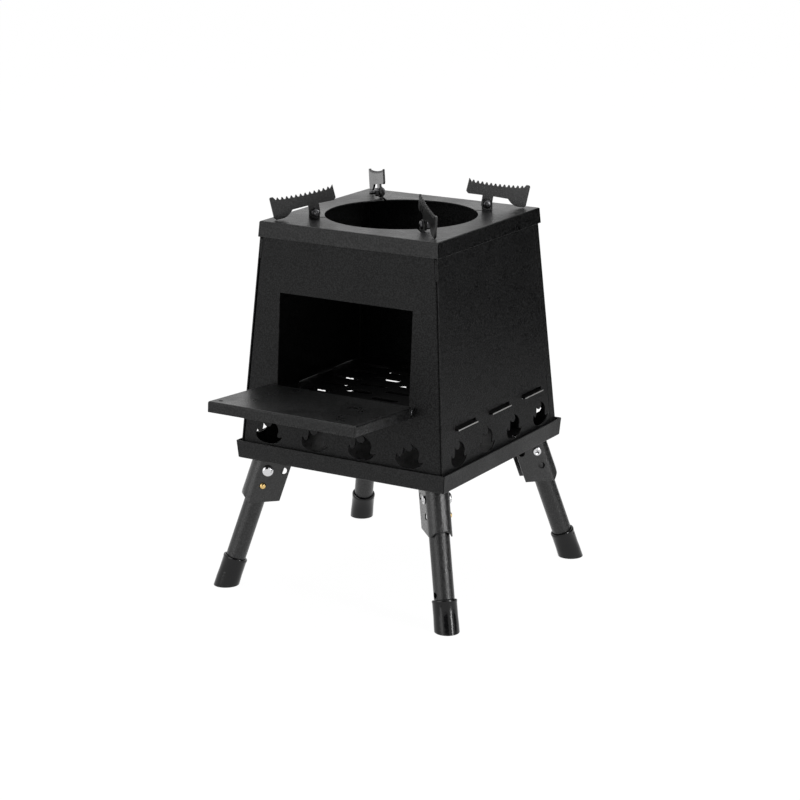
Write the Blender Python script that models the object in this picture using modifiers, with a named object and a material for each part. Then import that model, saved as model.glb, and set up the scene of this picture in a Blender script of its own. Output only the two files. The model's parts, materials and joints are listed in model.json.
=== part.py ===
"""Outdoor wood stove: a tapered sheet-steel firebox in a tray, on four folding tube legs.

Metres, +Z up. The front, with the feed door, faces -Y. The origin lies on the ground
under the middle of the whole stove, door included. Every length is one named value.
"""
import math

import bmesh
import bpy
from mathutils import Matrix, Vector

MM = 0.001

# Sheet and fits
SHEET = 1.2 * MM
FIT_GAP = 0.3 * MM
SEAM_GAP = 0.6 * MM
HOLE_CLEARANCE = 0.3 * MM
CUT_MARGIN = 4 * MM
ARC_STEPS = 3
EYE_STEPS = 10
HEAD_STEPS = 4
BORE_STEPS = 12
SCREW_STEPS = 16
HEAD_BRIM = 0.25

# Base tray
TRAY_BOTTOM_Z = 121.5 * MM
TRAY_FLARE = 1.3 * MM
TRAY_RIM_HEIGHT = 16.7 * MM
TRAY_BEND_RADIUS = 1.6 * MM
TRAY_CORNER_SLIT = 0.5 * MM

# Firebox walls: half the outer width at the tray and how much it shrinks per metre of height
BODY_BOTTOM_HALF = 107.2 * MM
BODY_TAPER = 0.0739
BODY_HEIGHT = 216.3 * MM
FRONT_BEND_RADIUS = 1.8 * MM
FRONT_FLANGE = 8.0 * MM
BACK_BEND_RADIUS = 2.4 * MM
BACK_FLANGE = 11.0 * MM
JOGGLE_STEP = 3.0 * MM
JOGGLE_REACH = 7.5 * MM

# Hook tabs that tie the side walls to the front wall
HOOK_BELOW_TOP = 32.3 * MM
HOOK_HEIGHT = 18.0 * MM
HOOK_WIDTH = 1.5 * MM
HOOK_DEPTH = 1.6 * MM

# Feed opening and its door
OPENING_HALF = 69.3 * MM
OPENING_ABOVE_TRAY = 70.6 * MM
OPENING_HEIGHT = 84.8 * MM
DOOR_PIVOT_DROP = 2.6 * MM
DOOR_PIVOT_OUT = 5.5 * MM
DOOR_TILT = math.radians(3.8)
DOOR_HALF = 76.0 * MM
DOOR_REACH = 93.2 * MM
DOOR_FACE_HEIGHT = 4.5 * MM
DOOR_RIM = 9.7 * MM
DOOR_BEND_RADIUS = 1.6 * MM
DOOR_BACK = 2.6 * MM
DOOR_HEEL = 5.1 * MM
DOOR_HEEL_DROP = 2.5 * MM
DOOR_HOLE_RADIUS = 2.0 * MM
DOOR_HOLE_INSET = 8.5 * MM
DOOR_EAR_RADIUS = 2.9 * MM
DOOR_PIN_RADIUS = 1.5 * MM
DOOR_PIN_HEAD_RADIUS = 2.8 * MM
DOOR_PIN_HEAD = 0.9 * MM

# Flame-shaped vents, four to a wall
VENT_WIDTH = 28.6 * MM
VENT_HEIGHT = 22.7 * MM
VENT_COUNT = 4
VENT_ABOVE_TRAY = 27.3 * MM
FRONT_VENT_PITCH = 49.5 * MM
FRONT_VENT_OFFSET = -2.3 * MM
SIDE_VENT_PITCH = 50.7 * MM
SIDE_VENT_OFFSET = 0.4 * MM
VENT_CURVE_STEPS = 2
# x and y as shares of the vent's width and height, and whether the point is a sharp tip
FLAME_POINTS = (
    (0.015, -0.500, False),
    (0.285, -0.425, False),
    (0.435, -0.280, False),
    (0.500, -0.150, True),
    (0.312, -0.190, False),
    (0.346, 0.040, False),
    (0.300, 0.255, False),
    (0.180, 0.395, False),
    (0.010, 0.500, True),
    (0.090, 0.325, False),
    (-0.040, 0.178, False),
    (-0.160, 0.220, False),
    (-0.240, 0.335, True),
    (-0.266, 0.080, False),
    (-0.345, -0.100, False),
    (-0.460, 0.050, True),
    (-0.500, -0.215, False),
    (-0.350, -0.415, False),
)

# Grate with three tabs through each side wall
GRATE_ABOVE_TRAY = 48.4 * MM
GRATE_THICKNESS = 1.5 * MM
GRATE_SIDE_GAP = 2.6 * MM
GRATE_END_GAP = 1.1 * MM
GRATE_TAB_COUNT = 3
GRATE_TAB_PITCH = 61.5 * MM
GRATE_TAB_WIDTH = 34.5 * MM
GRATE_TAB_PROUD = 3.0 * MM
GRATE_TAB_END_GAP = 1.5 * MM
GRATE_TAB_SLOT_HEIGHT = 4.1 * MM
GRATE_ROWS = 14
GRATE_COLUMNS = 3
GRATE_ROW_PITCH = 12.4 * MM
GRATE_ROW_OFFSET = 1.9 * MM
GRATE_COLUMN_PITCH = 70.0 * MM
GRATE_SLOT_LENGTH = 30.0 * MM
GRATE_SLOT_WIDTH = 7.5 * MM

# Top plate
SKIRT_HEIGHT = 14.3 * MM
SKIRT_SLIT = 0.6 * MM
TOP_BEND_RADIUS = 1.6 * MM
POT_HOLE_RADIUS = 69.6 * MM
POT_HOLE_STEPS = 64

# Pot supports, on the diagonals
SUPPORT_PIVOT_RADIUS = 80.4 * MM
SUPPORT_PIVOT_HEIGHT = 5.5 * MM
SUPPORT_TILT = math.radians(9.5)
SUPPORT_THICKNESS = 2.0 * MM
SUPPORT_EYE_RADIUS = 5.1 * MM
SUPPORT_STEM_HALF = 5.0 * MM
SUPPORT_INNER = 21.1 * MM
SUPPORT_OUTER = 38.4 * MM
SUPPORT_UNDERSIDE = 7.5 * MM
SUPPORT_HORN_HEIGHT = 21.6 * MM
SUPPORT_TEETH = 12
SUPPORT_TOOTH_PITCH = 4.26 * MM
SUPPORT_TOOTH_DEPTH = 2.2 * MM
SUPPORT_TOOTH_TOP = 20.4 * MM
SUPPORT_TOOTH_SAG = 1.0 * MM
SUPPORT_TOOTH_TIP = 0.7 * MM
SUPPORT_LOBE_BOTTOM = 0.75 * MM
SUPPORT_LOBE_HALF = 3.0 * MM
SUPPORT_LOBE_X = 32.6 * MM
SUPPORT_LOBE_RISE = 2.0 * MM
SUPPORT_ARCH_REACH = 14.0 * MM
SUPPORT_ARCH_STEPS = 5
SUPPORT_CORNER = 2.0 * MM
SUPPORT_HORN_CORNER = 1.0 * MM
SUPPORT_HORN_WIDTH = 3.4 * MM
EAR_RADIUS = 5.0 * MM
EAR_SLOT_TAIL = 6.0 * MM
EAR_SLOT_WIDTH = 2.2 * MM
EAR_SLOT_LAND = 0.5 * MM
EAR_ROOT = 0.4 * MM
SUPPORT_SCREW_RADIUS = 1.9 * MM
SUPPORT_SCREW_LENGTH = 12.6 * MM
SUPPORT_SCREW_CHAMFER = 0.4 * MM
SUPPORT_HEAD_RADIUS = 3.8 * MM
SUPPORT_HEAD_HEIGHT = 2.2 * MM
SOCKET_RADIUS = 1.7 * MM
SOCKET_DEPTH = 1.5 * MM
SUPPORT_NUT_RADIUS = 4.0 * MM
SUPPORT_NUT_HEIGHT = 3.2 * MM

# Legs, on the diagonals
LEG_SPLAY = math.radians(19.3)
LEG_PIVOT_RADIUS = 128.6 * MM
LEG_PIVOT_DROP = 11.5 * MM
FOLDED_DROOP = math.radians(5.0)
TUBE_RADIUS = 9.25 * MM
TUBE_WALL = 1.2 * MM
TUBE_ABOVE_PIVOT = 5.5 * MM
TUBE_STEPS = 24
CAP_RADIUS = 11.3 * MM
CAP_LENGTH = 28.0 * MM
CAP_FLOOR = 7.7 * MM
CAP_EDGE_RADIUS = 1.0 * MM
DRAIN_HOLE_RADIUS = 2.8 * MM
DRAIN_HOLE_ABOVE_CAP = 4.0 * MM
DRAIN_HOLE_TURN = math.radians(15)
DRAIN_HOLE_REVERSED = "back_right"

# Folding-leg brackets
BRACKET_INNER_REACH = 24.8 * MM
BRACKET_BACK_REACH = 10.8 * MM
BRACKET_HEIGHT = 41.0 * MM
BRACKET_SIDE_GAP = 0.35 * MM
BRACKET_BEND_RADIUS = 10.4 * MM
BRACKET_BEND_STEPS = 5
BRACKET_CHAMFER_HEIGHT = 12.3 * MM
BRACKET_CHAMFER_DEPTH = 7.0 * MM
BRACKET_WEB_LENGTH = 14.0 * MM
BRACKET_WEB_DROP = 0.2 * MM
BRACKET_WEB_SETBACK = 0.5 * MM
RIVET_RADIUS = 2.0 * MM
RIVET_HEAD_RADIUS = 4.0 * MM
RIVET_HEAD_HEIGHT = 1.0 * MM
RIVET_INSET = 7.5 * MM

# Leg pivot rivet, its end rolled over, and the spring button that locks the leg
PIVOT_RIVET_RADIUS = 2.5 * MM
PIVOT_HEAD_RADIUS = 5.3 * MM
PIVOT_HEAD_HEIGHT = 2.8 * MM
PIVOT_ROLL_RADIUS = 4.0 * MM
PIVOT_ROLL_HEIGHT = 1.4 * MM
PIVOT_BORE_RADIUS = 1.3 * MM
PIVOT_BORE_DEPTH = 3.0 * MM
LOCK_RADIUS = 15.0 * MM
BUTTON_RADIUS = 2.8 * MM
BUTTON_PROUD = 2.2 * MM
BUTTON_FLANGE_RADIUS = 3.7 * MM
BUTTON_FLANGE = 0.8 * MM
BUTTON_FLANGE_INNER = 6.1 * MM
SPRING_THICKNESS = 0.6 * MM
SPRING_HALF_WIDTH = 3.0 * MM
SPRING_TOP = 9.0 * MM
SPRING_SHOULDER = 21.0 * MM
SPRING_END = 40.0 * MM
SPRING_BEND_HALF = 1.6 * MM

# Worked out from the values above
BODY_BOTTOM_Z = TRAY_BOTTOM_Z + SHEET + FIT_GAP
BODY_TOP_Z = BODY_BOTTOM_Z + BODY_HEIGHT
TRAY_FLOOR_HALF = BODY_BOTTOM_HALF + FIT_GAP + SHEET
TRAY_TOP_HALF = TRAY_FLOOR_HALF + TRAY_FLARE
HOOK_BOTTOM_Z = BODY_TOP_Z - HOOK_BELOW_TOP
OPENING_BOTTOM_Z = BODY_BOTTOM_Z + OPENING_ABOVE_TRAY
OPENING_TOP_Z = OPENING_BOTTOM_Z + OPENING_HEIGHT
DOOR_PIVOT_Z = OPENING_BOTTOM_Z - DOOR_PIVOT_DROP
DOOR_EAR_OUTER = DOOR_HALF - SHEET - SEAM_GAP
DOOR_EAR_INNER = DOOR_EAR_OUTER - SHEET
VENT_Z = BODY_BOTTOM_Z + VENT_ABOVE_TRAY
GRATE_Z = BODY_BOTTOM_Z + GRATE_ABOVE_TRAY
PLATE_TOP_Z = BODY_TOP_Z + FIT_GAP + SHEET
SUPPORT_PIVOT_Z = PLATE_TOP_Z + SUPPORT_PIVOT_HEIGHT
BRACKET_TOP_Z = TRAY_BOTTOM_Z - FIT_GAP
BRACKET_INNER_RADIUS = LEG_PIVOT_RADIUS - BRACKET_INNER_REACH
BRACKET_BACK_RADIUS = LEG_PIVOT_RADIUS + BRACKET_BACK_REACH
LEG_PIVOT_Z = TRAY_BOTTOM_Z - LEG_PIVOT_DROP
CHEEK_INNER = TUBE_RADIUS + BRACKET_SIDE_GAP
CHEEK_OUTER = CHEEK_INNER + SHEET
LEG_LENGTH = LEG_PIVOT_Z / math.cos(LEG_SPLAY)
FOLD_ANGLE = math.pi / 2 + LEG_SPLAY - FOLDED_DROOP

CORNERS = {
    "front_right": math.radians(-45),
    "back_right": math.radians(45),
    "back_left": math.radians(135),
    "front_left": math.radians(-135),
}


def body_half(z):
    """Half the firebox's outer width at height z."""
    return BODY_BOTTOM_HALF - BODY_TAPER * (z - BODY_BOTTOM_Z)


GRATE_WALL_HALF = body_half(GRATE_Z) - SHEET
DOOR_PIVOT_Y = -body_half(DOOR_PIVOT_Z) - DOOR_PIVOT_OUT
DOOR_RIM_DROP = DOOR_RIM - DOOR_FACE_HEIGHT
FRONT_REACH = -DOOR_PIVOT_Y + DOOR_REACH * math.cos(DOOR_TILT) + DOOR_RIM_DROP * math.sin(DOOR_TILT)
FOOT_RADIUS = LEG_PIVOT_RADIUS + LEG_PIVOT_Z * math.tan(LEG_SPLAY)
FOOT_HALF_SPREAD = math.sqrt(0.5) * (FOOT_RADIUS + math.hypot(CAP_RADIUS / math.cos(LEG_SPLAY), CAP_RADIUS))
CENTRE_SHIFT_Y = (FRONT_REACH - FOOT_HALF_SPREAD) / 2


def clear_scene():
    for obj in list(bpy.data.objects):
        bpy.data.objects.remove(obj)


def make_collection(name):
    collection = bpy.data.collections.new(name)
    bpy.context.scene.collection.children.link(collection)
    return collection


def make_material(name, colour, roughness, metallic):
    material = bpy.data.materials.new(name)
    material.use_nodes = True
    shader = material.node_tree.nodes["Principled BSDF"]
    shader.inputs["Base Color"].default_value = (*colour, 1.0)
    shader.inputs["Roughness"].default_value = roughness
    shader.inputs["Metallic"].default_value = metallic
    return material


def make_empty(name, parent, matrix):
    empty = bpy.data.objects.new(name, None)
    empty.empty_display_size = 10 * MM
    PARTS.objects.link(empty)
    empty.parent = parent
    empty.matrix_local = matrix
    return empty


def make_object(name, mesh, parent, material=None, matrix=None):
    """A named part when it has a material, and otherwise a hidden cutter."""
    obj = bpy.data.objects.new(name, mesh)
    if material:
        obj.data.materials.append(material)
        PARTS.objects.link(obj)
    else:
        CUTTERS.objects.link(obj)
        obj.hide_render = True
        obj.display_type = "WIRE"
    obj.parent = parent
    if matrix:
        obj.matrix_local = matrix
    return obj


def boolean(obj, operation, tool):
    modifier = obj.modifiers.new(f"{operation.lower()}_{tool.name}", "BOOLEAN")
    modifier.operation = operation
    modifier.object = tool
    return modifier


def cut(obj, *tools):
    for tool in tools:
        boolean(obj, "DIFFERENCE", tool)


def join(obj, *tools):
    for tool in tools:
        boolean(obj, "UNION", tool)


def shade_round(mesh, angle=math.radians(30)):
    mesh.shade_smooth()
    mesh.set_sharp_from_angle(angle=angle)


def mesh_of(bm, name):
    bmesh.ops.recalc_face_normals(bm, faces=bm.faces)
    mesh = bpy.data.meshes.new(name)
    bm.to_mesh(mesh)
    bm.free()
    return mesh


def box_mesh(name, low, high):
    bm = bmesh.new()
    bmesh.ops.create_cube(bm, size=1)
    low, high = Vector(low), Vector(high)
    bmesh.ops.scale(bm, vec=high - low, verts=bm.verts)
    bmesh.ops.translate(bm, vec=(low + high) / 2, verts=bm.verts)
    return mesh_of(bm, name)


def cylinder_mesh(name, radius, start, end, steps=BORE_STEPS):
    """A closed cylinder along Z from start to end."""
    bm = bmesh.new()
    bmesh.ops.create_cone(
        bm, cap_ends=True, segments=steps, radius1=radius, radius2=radius, depth=end - start
    )
    bmesh.ops.translate(bm, vec=(0, 0, (start + end) / 2), verts=bm.verts)
    mesh = mesh_of(bm, name)
    shade_round(mesh)
    return mesh


def turned_object(name, profile, parent, material, matrix, steps=SCREW_STEPS):
    """A solid turned about Z from a profile of (radius, height) points, from the top down."""
    mesh = bpy.data.meshes.new(name)
    edges = [(i, i + 1) for i in range(len(profile) - 1)]
    mesh.from_pydata([(radius, 0, height) for radius, height in profile], edges, [])
    obj = make_object(name, mesh, parent, material, matrix)
    screw = obj.modifiers.new("turn", "SCREW")
    screw.axis = "Z"
    screw.steps = steps
    screw.render_steps = steps
    screw.use_merge_vertices = True
    screw.merge_threshold = 0.00001
    screw.use_smooth_shade = True
    return obj


def outline_mesh(name, outlines, thickness, sharp=None, resolution=1):
    """A flat plate in the XY plane, centred on it, from closed outlines; inner ones are holes.

    sharp, where given, says for each point of the outlines whether it is a tip, and the
    other points are then smoothed.
    """
    curve = bpy.data.curves.new(name, "CURVE")
    curve.dimensions = "2D"
    curve.fill_mode = "BOTH"
    curve.extrude = thickness / 2
    curve.resolution_u = resolution
    for points in outlines:
        spline = curve.splines.new("BEZIER" if sharp else "POLY")
        if sharp:
            spline.bezier_points.add(len(points) - 1)
            for point, place, tip in zip(spline.bezier_points, points, sharp):
                point.co = (*place, 0)
                handle = "VECTOR" if tip else "AUTO"
                point.handle_left_type = handle
                point.handle_right_type = handle
        else:
            spline.points.add(len(points) - 1)
            for point, place in zip(spline.points, points):
                point.co = (*place, 0, 1)
        spline.use_cyclic_u = True
    drawn = bpy.data.objects.new(name, curve)
    CUTTERS.objects.link(drawn)
    graph = bpy.context.evaluated_depsgraph_get()
    mesh = bpy.data.meshes.new_from_object(drawn.evaluated_get(graph))
    mesh.name = name
    bpy.data.objects.remove(drawn)
    bm = bmesh.new()
    bm.from_mesh(mesh)
    bmesh.ops.remove_doubles(bm, verts=bm.verts, dist=0.00001)
    bmesh.ops.recalc_face_normals(bm, faces=bm.faces)
    bm.to_mesh(mesh)
    bm.free()
    mesh.materials.clear()
    return mesh


def joined_mesh(name, mesh, matrices):
    """Copies of one closed mesh at several places, as one cutter."""
    bm = bmesh.new()
    for matrix in matrices:
        copy = mesh.copy()
        copy.transform(matrix)
        bm.from_mesh(copy)
        bpy.data.meshes.remove(copy)
    joined = bpy.data.meshes.new(name)
    bm.to_mesh(joined)
    bm.free()
    return joined


def lofted_mesh(name, bottom, top):
    """A closed solid between two rings of as many points, each ring flat."""
    bm = bmesh.new()
    face = bm.faces.new([bm.verts.new(point) for point in bottom])
    raised = bmesh.ops.extrude_face_region(bm, geom=[face])["geom"]
    moved = [item for item in raised if isinstance(item, bmesh.types.BMVert)]
    for vert in moved:
        nearest = min(range(len(bottom)), key=lambda i: (vert.co - Vector(bottom[i])).length)
        vert.co = top[nearest]
    mesh = mesh_of(bm, name)
    shade_round(mesh)
    return mesh


def arc(centre, radius, start, end, steps=ARC_STEPS):
    """Points on an arc, both ends included, angles in degrees."""
    angles = [math.radians(start + (end - start) * i / steps) for i in range(steps + 1)]
    return [(centre[0] + radius * math.cos(a), centre[1] + radius * math.sin(a)) for a in angles]


def channel_section(half, front, flange, bend, sheet=SHEET, steps=ARC_STEPS):
    """A C of sheet open to +Y: its web lies on y = front, its flanges on x = -half and half."""
    inner = bend - sheet
    centre_y = front + bend
    left = arc((-half + bend, centre_y), bend, 180, 270, steps)
    right = arc((half - bend, centre_y), bend, 270, 360, steps)
    right_inner = arc((half - bend, centre_y), inner, 360, 270, steps)
    left_inner = arc((-half + bend, centre_y), inner, 270, 180, steps)
    ends = front + flange
    return [
        (-half, ends),
        *left,
        *right,
        (half, ends),
        (half - sheet, ends),
        *right_inner,
        *left_inner,
        (-half + sheet, ends),
    ]


def wall_mesh(name, section, low=BODY_BOTTOM_Z, high=BODY_TOP_Z):
    """A tapered wall: section(half width) is its outline, seen from above, at any height."""
    bottom = [(x, y, low) for x, y in section(body_half(low))]
    top = [(x, y, high) for x, y in section(body_half(high))]
    return lofted_mesh(name, bottom, top)


def tapered_shell(name, bottom_half, top_half, low, high, open_face, bend):
    """An open pan of the sheet's outer face: its bends round its closed face."""
    bm = bmesh.new()
    bmesh.ops.create_cube(bm, size=2)
    for vert in bm.verts:
        half = top_half if vert.co.z > 0 else bottom_half
        vert.co = (vert.co.x * half, vert.co.y * half, high if vert.co.z > 0 else low)
    opened = [face for face in bm.faces if face.normal.z * open_face > 0.9]
    bmesh.ops.delete(bm, geom=opened, context="FACES_ONLY")
    closed_z = low if open_face > 0 else high
    folds = [edge for edge in bm.edges if all(abs(vert.co.z - closed_z) < MM / 1000 for vert in edge.verts)]
    bmesh.ops.bevel(
        bm, geom=folds, offset=bend, offset_type="OFFSET", segments=ARC_STEPS, profile=0.5, affect="EDGES"
    )
    bmesh.ops.recalc_face_normals(bm, faces=bm.faces)
    mesh = bpy.data.meshes.new(name)
    bm.to_mesh(mesh)
    bm.free()
    return mesh


def add_sheet(obj, thickness=SHEET):
    """Gives an open outer face its sheet, inwards."""
    solid = obj.modifiers.new("sheet", "SOLIDIFY")
    solid.thickness = thickness
    solid.offset = -1
    solid.use_even_offset = True
    return solid


def corner_slits(name, parent, half, low, high, width):
    """A thin cutter across each vertical corner of a square pan."""
    blade = box_mesh(name, (-CUT_MARGIN, -width / 2, low), (CUT_MARGIN, width / 2, high))
    places = [
        Matrix.Rotation(angle, 4, "Z") @ Matrix.Translation((half * math.sqrt(2), 0, 0))
        for angle in CORNERS.values()
    ]
    return make_object(name, joined_mesh(name, blade, places), parent)


def build_tray(frame, black):
    top_z = TRAY_BOTTOM_Z + TRAY_RIM_HEIGHT
    mesh = tapered_shell(
        "base_tray", TRAY_FLOOR_HALF, TRAY_TOP_HALF, TRAY_BOTTOM_Z, top_z, 1, TRAY_BEND_RADIUS
    )
    tray = make_object("base_tray", mesh, frame, black)
    add_sheet(tray)
    slits = corner_slits(
        "tray_slits",
        frame,
        TRAY_TOP_HALF,
        TRAY_BOTTOM_Z + TRAY_BEND_RADIUS,
        top_z + CUT_MARGIN,
        TRAY_CORNER_SLIT,
    )
    cut(tray, slits)
    return tray


def build_front(frame, black):
    """Front wall between the side walls, with the feed opening and the door's two ears."""
    inset = SHEET + SEAM_GAP

    def section(half):
        return channel_section(half - inset, -half, FRONT_FLANGE, FRONT_BEND_RADIUS)

    front = make_object("front_panel", wall_mesh("front_panel", section), frame, black)
    root = DOOR_PIVOT_OUT + SHEET / 2
    eye = arc((0, 0), DOOR_EAR_RADIUS, 90, 270, EYE_STEPS)
    ear = [(root, -DOOR_EAR_RADIUS), (root, DOOR_EAR_RADIUS), *eye]
    for side in (-1, 1):
        mesh = outline_mesh("door_ear", [ear], SHEET)
        mesh.transform(upright(side * (DOOR_EAR_INNER + DOOR_EAR_OUTER) / 2, DOOR_PIVOT_Y, DOOR_PIVOT_Z))
        join(front, make_object("door_ear", mesh, frame))
    pivot = Matrix.Translation((0, DOOR_PIVOT_Y, DOOR_PIVOT_Z))
    door_bore = cylinder_mesh("ear_bore", DOOR_PIN_RADIUS + HOLE_CLEARANCE, -DOOR_HALF, DOOR_HALF)
    door_bore.transform(pivot @ Matrix.Rotation(math.pi / 2, 4, "Y"))
    opening = box_mesh(
        "feed_opening",
        (-OPENING_HALF, -BODY_BOTTOM_HALF - CUT_MARGIN, OPENING_BOTTOM_Z),
        (OPENING_HALF, -body_half(OPENING_TOP_Z) + FRONT_FLANGE, OPENING_TOP_Z),
    )
    cut(front, make_object("feed_opening", opening, frame), make_object("ear_bore", door_bore, frame))

    def notch_section(half):
        inner = half - inset - HOOK_WIDTH - FIT_GAP
        outer = half + CUT_MARGIN
        behind = -half + HOOK_DEPTH + SEAM_GAP
        return [(inner, -outer), (outer, -outer), (outer, behind), (inner, behind)]

    notch = wall_mesh("notch", notch_section, HOOK_BOTTOM_Z - FIT_GAP, BODY_TOP_Z + CUT_MARGIN)
    mirrored = notch.copy()
    mirrored.transform(Matrix.Scale(-1, 4, (1, 0, 0)))
    mirrored.flip_normals()
    cut(front, make_object("notch_right", notch, frame), make_object("notch_left", mirrored, frame))
    return front


def upright(x, y, z):
    """Places an outline drawn in (y, z) about a point, its thickness along X."""
    return Matrix.Translation((x, y, z)) @ Matrix(((0, 0, 1, 0), (1, 0, 0, 0), (0, 1, 0, 0), (0, 0, 0, 1)))


def build_back(frame, black):
    """Back wall, whose flanges turn the corners and lie flush with the side walls."""

    def section(half):
        turned = channel_section(half, -half, BACK_FLANGE, BACK_BEND_RADIUS)
        return [(-x, -y) for x, y in turned]

    return make_object("back_panel", wall_mesh("back_panel", section), frame, black)


def build_side(frame, black, name, side):
    """Side wall: flat, its rear edge joggled behind the back wall's flange.

    The grate's tabs fit closely in the left wall and drop into taller slots in the right one.
    """

    def section(half):
        rear = half - BACK_FLANGE - SEAM_GAP
        behind = half - SHEET - FIT_GAP
        outline = [
            (half, -half),
            (half, rear),
            (behind, rear),
            (behind, rear + JOGGLE_REACH),
            (behind - SHEET, rear + JOGGLE_REACH),
            (behind - SHEET, rear - JOGGLE_STEP),
            (half - SHEET, rear - JOGGLE_STEP),
            (half - SHEET, -half),
        ]
        return [(side * x, y) for x, y in outline]

    wall = make_object(name, wall_mesh(name, section), frame, black)
    hook_top = HOOK_BOTTOM_Z + HOOK_HEIGHT

    def hook_section(half_width):
        inner = half_width - SHEET - SEAM_GAP - HOOK_WIDTH
        outer = half_width - SHEET / 2
        face = -half_width + SEAM_GAP / 4
        ring = [(inner, face), (outer, face), (outer, face + HOOK_DEPTH), (inner, face + HOOK_DEPTH)]
        return [(side * x, y) for x, y in ring]

    hook = wall_mesh("hook", hook_section, HOOK_BOTTOM_Z, hook_top)
    join(wall, make_object(f"hook_{name}", hook, frame))
    if side < 0:
        end_gap, slot_height = FIT_GAP, GRATE_THICKNESS + 2 * FIT_GAP
    else:
        end_gap, slot_height = GRATE_TAB_END_GAP, GRATE_TAB_SLOT_HEIGHT
    slot_half = GRATE_TAB_WIDTH / 2 + end_gap
    slot_low = GRATE_Z - FIT_GAP
    slot = box_mesh(
        "slot",
        (BODY_BOTTOM_HALF / 2, -slot_half, slot_low),
        (BODY_BOTTOM_HALF + CUT_MARGIN, slot_half, slot_low + slot_height),
    )
    places = [
        Matrix.Scale(side, 4, (1, 0, 0)) @ Matrix.Translation((0, offset, 0)) for offset in tab_offsets()
    ]
    slots = joined_mesh("tab_slots", slot, places)
    if side < 0:
        slots.flip_normals()
    cut(wall, make_object(f"tab_slots_{name}", slots, frame))
    return wall


def spaced(count, pitch, offset=0.0):
    """Evenly spaced places about offset."""
    return [offset + (i - (count - 1) / 2) * pitch for i in range(count)]


def tab_offsets():
    return spaced(GRATE_TAB_COUNT, GRATE_TAB_PITCH)


def build_vents(frame, walls):
    """Cuts the flame-shaped vents; walls holds each wall, its turn from the front, and its vents' x."""
    outline = [(x * VENT_WIDTH, y * VENT_HEIGHT) for x, y, tip in FLAME_POINTS]
    tips = [tip for x, y, tip in FLAME_POINTS]
    flame = outline_mesh("flame", [outline], BODY_BOTTOM_HALF / 4, tips, VENT_CURVE_STEPS)
    stand = Matrix.Rotation(math.pi / 2, 4, "X")
    for wall, turn, offsets in walls:
        places = [Matrix.Translation((x, -body_half(VENT_Z), VENT_Z)) @ stand for x in offsets]
        row = joined_mesh("vent_row", flame, places)
        cut(wall, make_object(f"vents_{wall.name}", row, frame, None, Matrix.Rotation(turn, 4, "Z")))


def build_grate(frame, steel):
    tabs = tab_offsets()
    tab_half = GRATE_TAB_WIDTH / 2
    half_x = GRATE_WALL_HALF - GRATE_SIDE_GAP
    half_y = GRATE_WALL_HALF - GRATE_END_GAP
    reach = body_half(GRATE_Z) + GRATE_TAB_PROUD
    right = [(half_x, -half_y)]
    for offset in tabs:
        right += [
            (half_x, offset - tab_half),
            (reach, offset - tab_half),
            (reach, offset + tab_half),
            (half_x, offset + tab_half),
        ]
    right.append((half_x, half_y))
    outline = right + [(-x, -y) for x, y in right]
    outlines = [outline]
    half_length, half_width = GRATE_SLOT_LENGTH / 2, GRATE_SLOT_WIDTH / 2
    for i, y in enumerate(spaced(GRATE_ROWS, GRATE_ROW_PITCH, GRATE_ROW_OFFSET)):
        for x in spaced(GRATE_COLUMNS - i % 2, GRATE_COLUMN_PITCH):
            ring = arc((x + half_length - half_width, y), half_width, -90, 90, 2)
            ring += arc((x - half_length + half_width, y), half_width, 90, 270, 2)
            outlines.append(ring)
    mesh = outline_mesh("grate", outlines, GRATE_THICKNESS)
    place = Matrix.Translation((0, 0, GRATE_Z + GRATE_THICKNESS / 2))
    return make_object("grate", mesh, frame, steel, place)


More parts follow.
